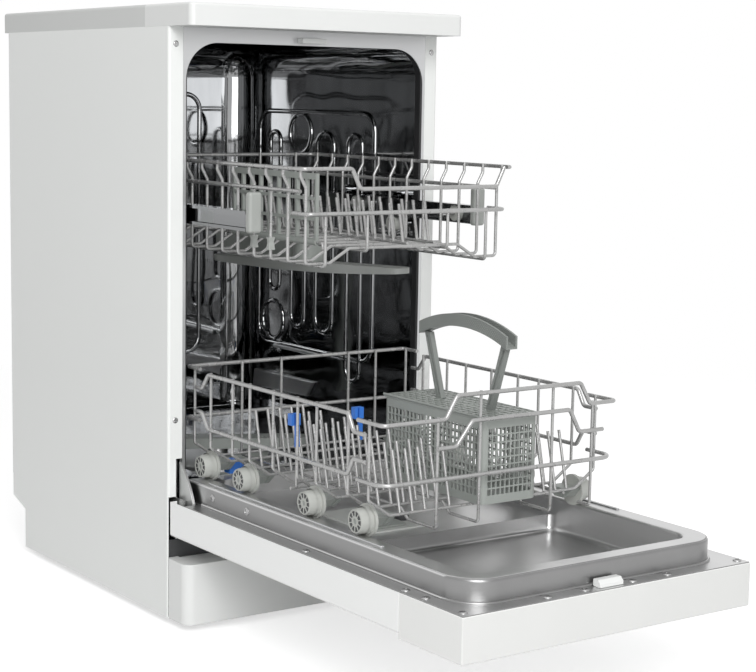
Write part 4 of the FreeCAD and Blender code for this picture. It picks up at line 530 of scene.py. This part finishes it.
# Upper spray arm: two welded halves of a darker grey moulding, which hang under the duct and spin on it.
# The underside rises towards both tips, and the seams are rounded.
arm_plastic = moulding("spray_arm_moulding", (0.24, 0.25, 0.24), 0.36, clouding=0.06)
taper_start, taper_length, taper_rise, taper_bend, seam_ease = 0.02, 0.144, 0.0065, 1.5, 0.0014
arm = joined_copy("upper_spray_arm")
arm_foot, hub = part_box("upper_spray_arm")[0].z, middle_of("upper_spray_arm")
tip = max((vert.co - hub for vert in arm.verts), key=lambda reach: reach.to_2d().length)
along_arm = Vector((tip.x, tip.y, 0.0)).normalized()
for step in (-0.14, -0.115, -0.09, -0.065, -0.04, 0.04, 0.065, 0.09, 0.115, 0.14):
    bmesh.ops.bisect_plane(arm, geom=whole(arm), plane_co=hub + along_arm * step, plane_no=along_arm)
for vert in [vert for vert in arm.verts if vert.co.z < arm_foot + hairline]:
    outward = max(0.0, abs((vert.co - hub).dot(along_arm)) - taper_start) / taper_length
    bmesh.ops.translate(arm, vec=(0.0, 0.0, taper_rise * outward ** taper_bend), verts=[vert])
ease(arm, sharp_edges(arm, 50.0), seam_ease, 3)
piece_from(arm, "upper_spray_arm_tapered", arm_plastic, replaced="upper_spray_arm")

# Second tine row of the upper rack: a straight coated wire welded across the cross wires, with upright tines
# that lean to the left.
def straight_wire(shape, start, end, radius):
    """A round wire with eased ends."""
    wire = bmesh.new()
    run = Vector(end) - Vector(start)
    bmesh.ops.create_cone(wire, cap_ends=True, segments=12, radius1=radius, radius2=radius, depth=run.length)
    ease(wire, sharp_edges(wire, 60.0), 0.5 * radius, 2, clamped=False)
    middle = (Vector(start) + Vector(end)) / 2
    stamp(shape, wire, Matrix.Translation(middle) @ run.to_track_quat("Z", "Y").to_matrix().to_4x4())


row_x, row_z, row_front = 0.006, 0.5405, -0.172
tine_count, tine_pitch, tine_height, tine_lean, tine_radius = 17, 0.021, 0.052, 0.008, 0.0021
second_row = bmesh.new()
straight_wire(second_row, (row_x, row_front, row_z), (row_x, row_front + tine_count * tine_pitch, row_z),
              tine_radius)
for index in range(tine_count):
    tine_y = row_front + (index + 0.5) * tine_pitch
    straight_wire(second_row, (row_x, tine_y, row_z), (row_x - tine_lean, tine_y, row_z + tine_height),
                  tine_radius)
piece_from(second_row, "upper_rack_second_tines", rack_coat, "upper_rack")

# Stop clips of the upper rack: two small grey mouldings pushed on a wire of its left wall.
# Each is waisted where it snaps round the wire.
stop_x, stop_z, stop_size = -0.1545, 0.5395, (0.010, 0.0085, 0.017)
waist_z, waist_share, stop_ease = 0.002, 0.72, 0.001
stop_clips = bmesh.new()
for stop_y in (-0.0475, -0.089):
    clip = bmesh.new()
    bmesh.ops.create_cube(clip, size=1.0)
    bmesh.ops.scale(clip, vec=stop_size, verts=clip.verts)
    waist = bmesh.ops.bisect_plane(clip, geom=whole(clip), plane_co=(0.0, 0.0, waist_z),
                                   plane_no=(0.0, 0.0, 1.0))["geom_cut"]
    bmesh.ops.scale(clip, vec=(waist_share, waist_share, 1.0), verts=points_of(waist))
    ease(clip, clip.edges[:], stop_ease, 2)
    stamp(stop_clips, clip, Matrix.Translation((stop_x, stop_y, stop_z)))
piece_from(stop_clips, "upper_rack_clips", stop_plastic, "upper_rack")

# Lower rack: the same coated wire, welded into a deep basket with heavier rims, and a row of tines that
# folds flat on its own rod.
thin_coat = 0.00028
coated_copy("lower_rack_rims", thick_coat)
coated_copy("lower_rack_wires", thin_coat)
dress(rack_coat, "folding_tines")

# Rack wheels: pale grey mouldings with a hub and a deep ring-shaped pocket, which turn on stubs of their
# clips. A thin dark ring in the pocket stands for the shade inside it.
pocket_depth, deepened, pocket_slack, wheel_ease = 0.0075, 0.011, 0.0006, 0.0003
shade_depth, shade_sheet, hub_radius, pocket_share = 0.0013, 0.0006, 0.0067, 1.88
axles = []
for name in ("rack_wheels_rear", "rack_wheels_mid_rear", "rack_wheels_mid_front", "rack_wheels_front"):
    axle, face_x = middle_of(name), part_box(name)[1].x
    axles.append(axle)
    shades = bmesh.new()
    for side in (-1.0, 1.0):
        ring = bmesh.new()
        bmesh.ops.create_circle(ring, segments=40, radius=hub_radius)
        grown = bmesh.ops.extrude_edge_only(ring, edges=ring.edges[:])["geom"]
        bmesh.ops.scale(ring, vec=(pocket_share, pocket_share, 1.0), verts=points_of(grown))
        bmesh.ops.solidify(ring, geom=ring.faces[:], thickness=shade_sheet)
        stamp(shades, ring, laid((0.0, 1.0, 0.0), (0.0, 0.0, 1.0), (side, 0.0, 0.0),
                                 (side * (face_x - shade_depth), axle.y, axle.z)))
    bmesh.ops.recalc_face_normals(shades, faces=shades.faces)
    piece_from(shades, name + "_shade", dark_plastic, replaced=name)
    wheels = joined_copy(name)
    for side in (-1.0, 1.0):
        pocket = [vert for vert in wheels.verts
                  if abs(side * vert.co.x - (face_x - pocket_depth)) < pocket_slack]
        bmesh.ops.translate(wheels, vec=(-side * deepened, 0.0, 0.0), verts=pocket)
    ease(wheels, [edge for edge in sharp_edges(wheels) if all(
        abs(vert.co.x) > face_x - hairline for vert in edge.verts)], wheel_ease, 2)
    piece_from(wheels, name + "_open", wheel_plastic, replaced=name, crease=30.0)

# Wheel clips and the foot of the folding row: grey mouldings that snap on the rack's lowest wires and narrow
# below the axles, and a blue stepped foot beside the rear left one.
blue_plastic = worked_surface("blue_moulding", (0.04, 0.18, 0.62), 0.36, clouding=0.06)
foot_x, foot_y = (-0.1412, -0.105), (0.0335, 0.0505)
lobe_top, lobe_inner, lobe_outer, lobe_share, clip_ease = 0.2166, 0.006, 0.03, 0.36, 0.0005
for name, finish, slot, is_foot in (("wheel_clips_eased", grey_plastic, "grey_plastic", False),
                                    ("tine_row_foot", blue_plastic, "blue_plastic", True)):
    shape = joined_copy("wheel_clips")
    others = [vert for vert in shape.verts if is_foot != (
        foot_x[0] < vert.co.x < foot_x[1] and foot_y[0] < vert.co.y < foot_y[1])]
    bmesh.ops.delete(shape, geom=others, context="VERTS")
    for axle in axles if not is_foot else ():
        lobe = [vert for vert in shape.verts
                if vert.co.z < lobe_top and lobe_inner < abs(vert.co.y - axle.y) < lobe_outer]
        bmesh.ops.scale(shape, vec=(1.0, lobe_share, 1.0), space=Matrix.Translation((0.0, -axle.y, 0.0)),
                        verts=lobe)
    ease(shape, sharp_edges(shape), clip_ease, 2)
    piece_from(shape, name, finish, replaced="wheel_clips")

# Tine clips: two blue moulded grips that hold the folding row up, each pushed on a short wire post that is
# welded to the rack's floor.
grip_height, grip_ease, post_foot, post_overlap = 0.044, 0.0006, 0.001, 0.003
clip_low, clip_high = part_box("tine_clips")
grip_low, post_y = clip_high.z - grip_height, middle_of("tine_clips").y
clips = joined_copy("tine_clips")
bmesh.ops.bisect_plane(clips, geom=whole(clips), clear_inner=True, plane_co=(0.0, 0.0, grip_low),
                       plane_no=(0.0, 0.0, 1.0))
bmesh.ops.holes_fill(clips, edges=[edge for edge in clips.edges if edge.is_boundary])
ease(clips, sharp_edges(clips), grip_ease, 2)
piece_from(clips, "tine_clips_eased", blue_plastic, replaced="tine_clips")
posts = bmesh.new()
for post_x in (-0.1605, -0.062):
    straight_wire(posts, (post_x, post_y, clip_low.z + post_foot), (post_x, post_y, grip_low + post_overlap),
                  tine_radius)
piece_from(posts, "tine_row_posts", rack_coat, replaced="tine_clips")

# Cutlery basket: one grey moulding with round corner posts, finely latticed walls and the fixed half of its
# lid. The lattice bars are thinner than the frame, and the other half of the lid opens on a hinge.
def lattice(width, height, columns, rows, bar):
    """A flat panel of thin bars, lying on z."""
    panel = bmesh.new()
    bmesh.ops.create_grid(panel, x_segments=columns, y_segments=rows, size=0.5)
    bmesh.ops.scale(panel, vec=(width, height, 1.0), verts=panel.verts)
    cells = panel.faces[:]
    bmesh.ops.inset_individual(panel, faces=cells, thickness=bar / 2, use_even_offset=True)
    bmesh.ops.delete(panel, geom=cells, context="FACES")
    return panel


low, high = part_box("cutlery_basket")
size, centre = high - low, middle_of("cutlery_basket")
post_radius, frame_band, basket_wall, lid_height, lid_split = 0.009, 0.010, 0.0022, 0.004, 0.017
cell_rows, long_columns, short_columns, wall_bar, wall_area = 9, 24, 10, 0.0017, 0.003
lid_rows, lid_columns, lid_bar = 17, 4, 0.003
lattice_height = size.z - lid_height - 2 * frame_band
basket = rounded_sheet(size.x, size.y, post_radius, 5)
bmesh.ops.translate(basket, vec=(centre.x, centre.y, low.z), verts=basket.verts)
brim = basket.edges[:]
for rise in (frame_band, lattice_height, frame_band):
    grown = bmesh.ops.extrude_edge_only(basket, edges=brim)["geom"]
    bmesh.ops.translate(basket, vec=(0.0, 0.0, rise), verts=points_of(grown))
    brim = edges_of(grown)
bmesh.ops.recalc_face_normals(basket, faces=basket.faces)
if min(basket.faces, key=lambda face: face.calc_center_median().z).normal.z > 0:
    bmesh.ops.reverse_faces(basket, faces=basket.faces)
for face in [face for face in basket.faces if face.calc_area() > wall_area and abs(face.normal.z) < 0.5]:
    outward, upward = face.normal.copy(), Vector((0.0, 0.0, 1.0))
    sideways = upward.cross(outward)
    place = laid(sideways, upward, outward, face.calc_center_median())
    reach = [vert.co.dot(sideways) for vert in face.verts]
    width = max(reach) - min(reach)
    columns = long_columns if width > size.x else short_columns
    bmesh.ops.delete(basket, geom=[face], context="FACES_ONLY")
    stamp(basket, lattice(width, lattice_height, columns, cell_rows, wall_bar), place)
bmesh.ops.solidify(basket, geom=basket.faces[:], thickness=basket_wall)
fixed_lid = lattice(high.x - lid_split, size.y, lid_columns, lid_rows, lid_bar)
bmesh.ops.solidify(fixed_lid, geom=fixed_lid.faces[:], thickness=lid_height)
stamp(basket, fixed_lid, Matrix.Translation(((lid_split + high.x) / 2, centre.y, high.z)))
piece_from(basket, "cutlery_basket_latticed", grey_plastic, replaced="cutlery_basket")
dress(grey_plastic, "cutlery_lid")

# Basket handle: a bow of the same grey plastic that pushes into the middle of the basket.
# Its grip is moulded with a fine diamond texture, and the two stems are plain.
grip_plastic = moulding("grip_moulding", (0.225, 0.24, 0.228), 0.42, clouding=0.06)
knurl_turn, knurl_scale, knurl_depth = math.radians(40), 110.0, 0.0006
knurl_start, knurl_full = 0.424, 0.426
grip_tree = grip_plastic.node_tree
grip_place = grip_tree.nodes.new("ShaderNodeTexCoord")
ridges = []
for turn in (knurl_turn, -knurl_turn):
    lay = grip_tree.nodes.new("ShaderNodeMapping")
    lay.inputs["Rotation"].default_value = (turn, 0.0, 0.0)
    grip_tree.links.new(grip_place.outputs["Object"], lay.inputs["Vector"])
    rows = grip_tree.nodes.new("ShaderNodeTexWave")
    rows.bands_direction = "Y"
    rows.inputs["Scale"].default_value = knurl_scale
    grip_tree.links.new(lay.outputs["Vector"], rows.inputs["Vector"])
    ridges.append(rows.outputs["Fac"])
diamonds = grip_tree.nodes.new("ShaderNodeMath")
diamonds.operation = "MULTIPLY"
grip_tree.links.new(ridges[0], diamonds.inputs[0])
grip_tree.links.new(ridges[1], diamonds.inputs[1])
above = grip_tree.nodes.new("ShaderNodeSeparateXYZ")
grip_tree.links.new(grip_place.outputs["Object"], above.inputs["Vector"])
on_grip = grip_tree.nodes.new("ShaderNodeMapRange")
on_grip.inputs["From Min"].default_value = knurl_start
on_grip.inputs["From Max"].default_value = knurl_full
grip_tree.links.new(above.outputs["Z"], on_grip.inputs["Value"])
masked = grip_tree.nodes.new("ShaderNodeMath")
masked.operation = "MULTIPLY"
grip_tree.links.new(diamonds.outputs["Value"], masked.inputs[0])
grip_tree.links.new(on_grip.outputs["Result"], masked.inputs[1])
knurl = grip_tree.nodes.new("ShaderNodeBump")
knurl.inputs["Strength"].default_value = 1.0
knurl.inputs["Distance"].default_value = knurl_depth
grip_tree.links.new(masked.outputs["Value"], knurl.inputs["Height"])
grip_tree.links.new(knurl.outputs["Normal"], grip_tree.nodes["relief"].inputs["Normal"])


def across_grip_end(edge):
    """Whether an edge crosses the handle at one of the two ends of its grip."""
    crosses = abs(edge.verts[0].co.x - edge.verts[1].co.x) > 0.8 * edge.calc_length()
    return crosses and all(vert.co.z > grip_foot and min(vert.co.y - low.y, high.y - vert.co.y) < grip_end
                           for vert in edge.verts)


low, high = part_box("cutlery_handle")
grip_foot, grip_end, grip_round, stem_ease = 0.42, 0.009, 0.004, 0.0012
eased_copy("cutlery_handle", grip_plastic, "grey_plastic", (grip_round, 4, across_grip_end),
           (stem_ease, 3, None))

# Door outer panel and fascia: an enamelled steel pan and a moulded control face across its end, which the
# open door turns to the floor. Both have folded or moulded edges with a small radius.
door_side, door_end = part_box("door_outer_panel")[1].x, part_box("control_fascia")[0].y
door_fold, fascia_ease = 0.0009, 0.0014
door_enamel = enamel("door_enamel", (0.92, 0.93, 0.92))
eased_copy("door_outer_panel", door_enamel, "white_enamel", (door_fold, 3, lambda edge: all(
    abs(vert.co.x) > door_side - hairline for vert in edge.verts)))
# Painted shade: faces of the fascia and the buttons that point out from the machine, such as the fascia's
# front, are darkened to 0.86 of their colour.
fascia_plastic = worked_surface("fascia_moulding", (0.83, 0.835, 0.82), 0.34, cloud=0.1, clouding=0.012,
                                rub=0.05, grain=0.0012, depth=0.000015, outer_wall=0.5, painted_wall_shade=0.86)
eased_copy("control_fascia", fascia_plastic, "white_plastic", (fascia_ease, 3, lambda edge: all(
    abs(vert.co.x) > door_side - hairline or vert.co.y < door_end + hairline for vert in edge.verts)))

# Buttons and control board: the two buttons are moulded like the fascia and press on the board behind it.
# The board is green glass-fibre laminate, screwed inside the fascia.
circuit = worked_surface("circuit_board", (0.02, 0.12, 0.06), 0.4, clouding=0.15)
dress(fascia_plastic, "power_button", "start_button")
dress(circuit, "control_board")

# Door inner panel: one stainless sheet drawn into a raised rim and a well with a deeper basin, held to the
# outer panel by screws along its flange. The press leaves soft edges; its outward walls are darkened by
# painted shade.
rim_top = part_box("door_inner_panel")[1].z
basin_floor, plateau, rim_front, plateau_front = 0.158, 0.180, -0.1, -0.28
rim_ease, basin_ease, plateau_ease = 0.0045, 0.007, 0.004
eased_copy("door_inner_panel", satin_steel, "stainless",
           (rim_ease, 4, lambda edge: all(vert.co.z > rim_top - hairline for vert in edge.verts)
            and min(vert.co.y for vert in edge.verts) < rim_front),
           (basin_ease, 4, lambda edge: all(abs(vert.co.z - basin_floor) < hairline for vert in edge.verts)),
           (plateau_ease, 3, lambda edge: all(abs(vert.co.z - plateau) < hairline
                                              and vert.co.y < plateau_front for vert in edge.verts)))

# Bead round the foot of the door's rim: pressed out of the flange in the same stroke as the rim.
# It runs round three sides and stops short of the hinges.
flange_top, bead_half, bead_length, bead_corner, bead_middle = 0.1762, 0.2015, 0.6385, 0.0485, -0.25925
bead_end, bead_band, bead_rise = 0.008, 0.004, 0.003
rim_bead = bmesh.new()
pressed_outline(rim_bead, Matrix.Translation((0.0, 0.0, flange_top)), 2 * bead_half, bead_length, bead_corner,
                0.0, bead_middle, band=bead_band, rise=bead_rise)
bmesh.ops.bisect_plane(rim_bead, geom=whole(rim_bead), plane_co=(0.0, bead_end, 0.0),
                       plane_no=(0.0, 1.0, 0.0), clear_outer=True)
bmesh.ops.holes_fill(rim_bead, edges=[edge for edge in rim_bead.edges if edge.is_boundary])
piece_from(rim_bead, "door_rim_bead", satin_steel, "door")

# Wear strips: two narrow stainless strips spot welded along the top of the rim, beside the path that the
# wheels of the lower rack take over the door.
strip_x, strip_middle, strip_size = 0.1878, -0.1955, (0.005, 0.405, 0.0022)
strip_lift, strip_ease = 0.0009, 0.0009
wear_strips = bmesh.new()
for side in (-1.0, 1.0):
    strip = bmesh.new()
    bmesh.ops.create_cube(strip, size=1.0)
    bmesh.ops.scale(strip, vec=strip_size, verts=strip.verts)
    ease(strip, strip.edges[:], strip_ease, 3)
    stamp(wear_strips, strip, Matrix.Translation((side * strip_x, strip_middle, rim_top + strip_lift)))
piece_from(wear_strips, "door_wear_strips", frame_steel, "door")

# Door screws and latch: broad zinc plated heads along the flange hold the inner panel to the outer one.
# The latch is a white moulding on a spring, in the middle of the door's end.
head_share, latch_ease = 1.7, 0.0009
screw_set("door_screws", screw_zinc, head_share)
eased_copy("door_latch", white_plastic, "white_plastic", (latch_ease, 2, None))

# Detergent dispenser: a grey moulded body clamped in the door's well, with a sliding lid and a small turning
# cap for the rinse aid.
dispenser_plastic = moulding("dispenser_moulding", (0.5, 0.515, 0.495))
body_ease, lid_ease = 0.0008, 0.0005
eased_copy("dispenser_body", dispenser_plastic, "grey_plastic", (body_ease, 2, None))
eased_copy("dispenser_lid", grey_plastic, "grey_plastic", (lid_ease, 2, None))
dress(dark_plastic, "rinse_aid_cap")

# Studio floor and surround: a pale round floor that keeps the machine's shadow and glows faintly where it is
# seen or mirrored, so that it runs out to a white surround.
def is_seen(tree):
    """Light Path's camera, glossy and transmission rays together."""
    path = tree.nodes.new("ShaderNodeLightPath")
    either = tree.nodes.new("ShaderNodeMath")
    either.operation = "MAXIMUM"
    tree.links.new(path.outputs["Is Camera Ray"], either.inputs[0])
    tree.links.new(path.outputs["Is Glossy Ray"], either.inputs[1])
    seen = tree.nodes.new("ShaderNodeMath")
    seen.operation = "MAXIMUM"
    tree.links.new(either.outputs["Value"], seen.inputs[0])
    tree.links.new(path.outputs["Is Transmission Ray"], seen.inputs[1])
    return seen.outputs["Value"]


floor_radius, floor_tone, floor_glow, surround_light = 2.4, 0.62, 0.62, 0.42
floor_shape = bmesh.new()
bmesh.ops.create_circle(floor_shape, cap_ends=True, segments=96, radius=floor_radius)
floor_mesh = bpy.data.meshes.new("studio_floor")
floor_shape.to_mesh(floor_mesh)
floor_shape.free()
floor_paint = bpy.data.materials.new("studio_floor_white")
floor_paint.use_nodes = True
floor_tree = floor_paint.node_tree
floor_shader = floor_tree.nodes["Principled BSDF"]
floor_shader.inputs["Base Color"].default_value = (floor_tone, floor_tone, floor_tone, 1.0)
floor_shader.inputs["Roughness"].default_value = 0.9
floor_shader.inputs["Emission Color"].default_value = (1.0, 1.0, 1.0, 1.0)
glow = floor_tree.nodes.new("ShaderNodeMath")
glow.operation = "MULTIPLY"
glow.inputs[1].default_value = floor_glow
floor_tree.links.new(is_seen(floor_tree), glow.inputs[0])
floor_tree.links.new(glow.outputs["Value"], floor_shader.inputs["Emission Strength"])
floor_mesh.materials.append(floor_paint)
floor = bpy.data.objects.new("studio_floor", floor_mesh)
bpy.context.scene.collection.objects.link(floor)
world = bpy.data.worlds.new("studio")
bpy.context.scene.world = world
world.use_nodes = True
surround = world.node_tree.nodes["Background"]
surround.inputs["Color"].default_value = (1.0, 1.0, 1.0, 1.0)
level = world.node_tree.nodes.new("ShaderNodeMapRange")
level.inputs["To Min"].default_value = surround_light
level.inputs["To Max"].default_value = 1.0
world.node_tree.links.new(is_seen(world.node_tree), level.inputs["Value"])
world.node_tree.links.new(level.outputs["Result"], surround.inputs["Strength"])

# Lamps: one broad soft lamp high in front to the left, a low one further off and a weak one overhead.
# Each is a rectangle turned to the machine.
for name, place, aim, width, height, watts in (
        ("high_lamp", (-1.8, -3.2, 2.6), (0.0, 0.0, 0.45), 2.0, 2.0, 112.0),
        ("front_lamp", (-2.4, -5.0, 1.2), (0.0, -0.1, 0.4), 2.4, 1.6, 52.0),
        ("top_lamp", (0.0, -0.4, 3.2), (0.0, -0.1, 0.4), 2.4, 2.4, 10.0)):
    lamp_data = bpy.data.lights.new(name, "AREA")
    lamp_data.shape = "RECTANGLE"
    lamp_data.size, lamp_data.size_y = width, height
    lamp_data.energy = watts
    lamp = bpy.data.objects.new(name, lamp_data)
    lamp.location = place
    lamp.rotation_euler = (Vector(aim) - Vector(place)).to_track_quat("-Z", "Y").to_euler()
    bpy.context.scene.collection.objects.link(lamp)

# Camera: stands well to the left at about the height of the upper rack, with a long lens and a slight tilt.
# Colours are shown as they are written.
azimuth, elevation, tilt = math.radians(-35.37), math.radians(7.62), math.radians(0.99)
camera_spot = Vector((-1.39161, -2.07714, 0.73285))
back = Vector((math.sin(azimuth) * math.cos(elevation), -math.cos(azimuth) * math.cos(elevation),
               math.sin(elevation)))
level_right = (-back).cross(Vector((0.0, 0.0, 1.0))).normalized()
level_up = level_right.cross(-back)
right = math.cos(tilt) * level_right + math.sin(tilt) * level_up
up = math.cos(tilt) * level_up - math.sin(tilt) * level_right
camera_data = bpy.data.cameras.new("studio_camera")
camera_data.lens, camera_data.sensor_width = 85.55, 36.0
camera_data.clip_start, camera_data.clip_end = 0.1, 60.0
camera = bpy.data.objects.new("studio_camera", camera_data)
camera.matrix_world = laid(right, up, back, camera_spot)
bpy.context.scene.collection.objects.link(camera)
bpy.context.scene.camera = camera
bpy.context.scene.view_settings.view_transform = "Standard"
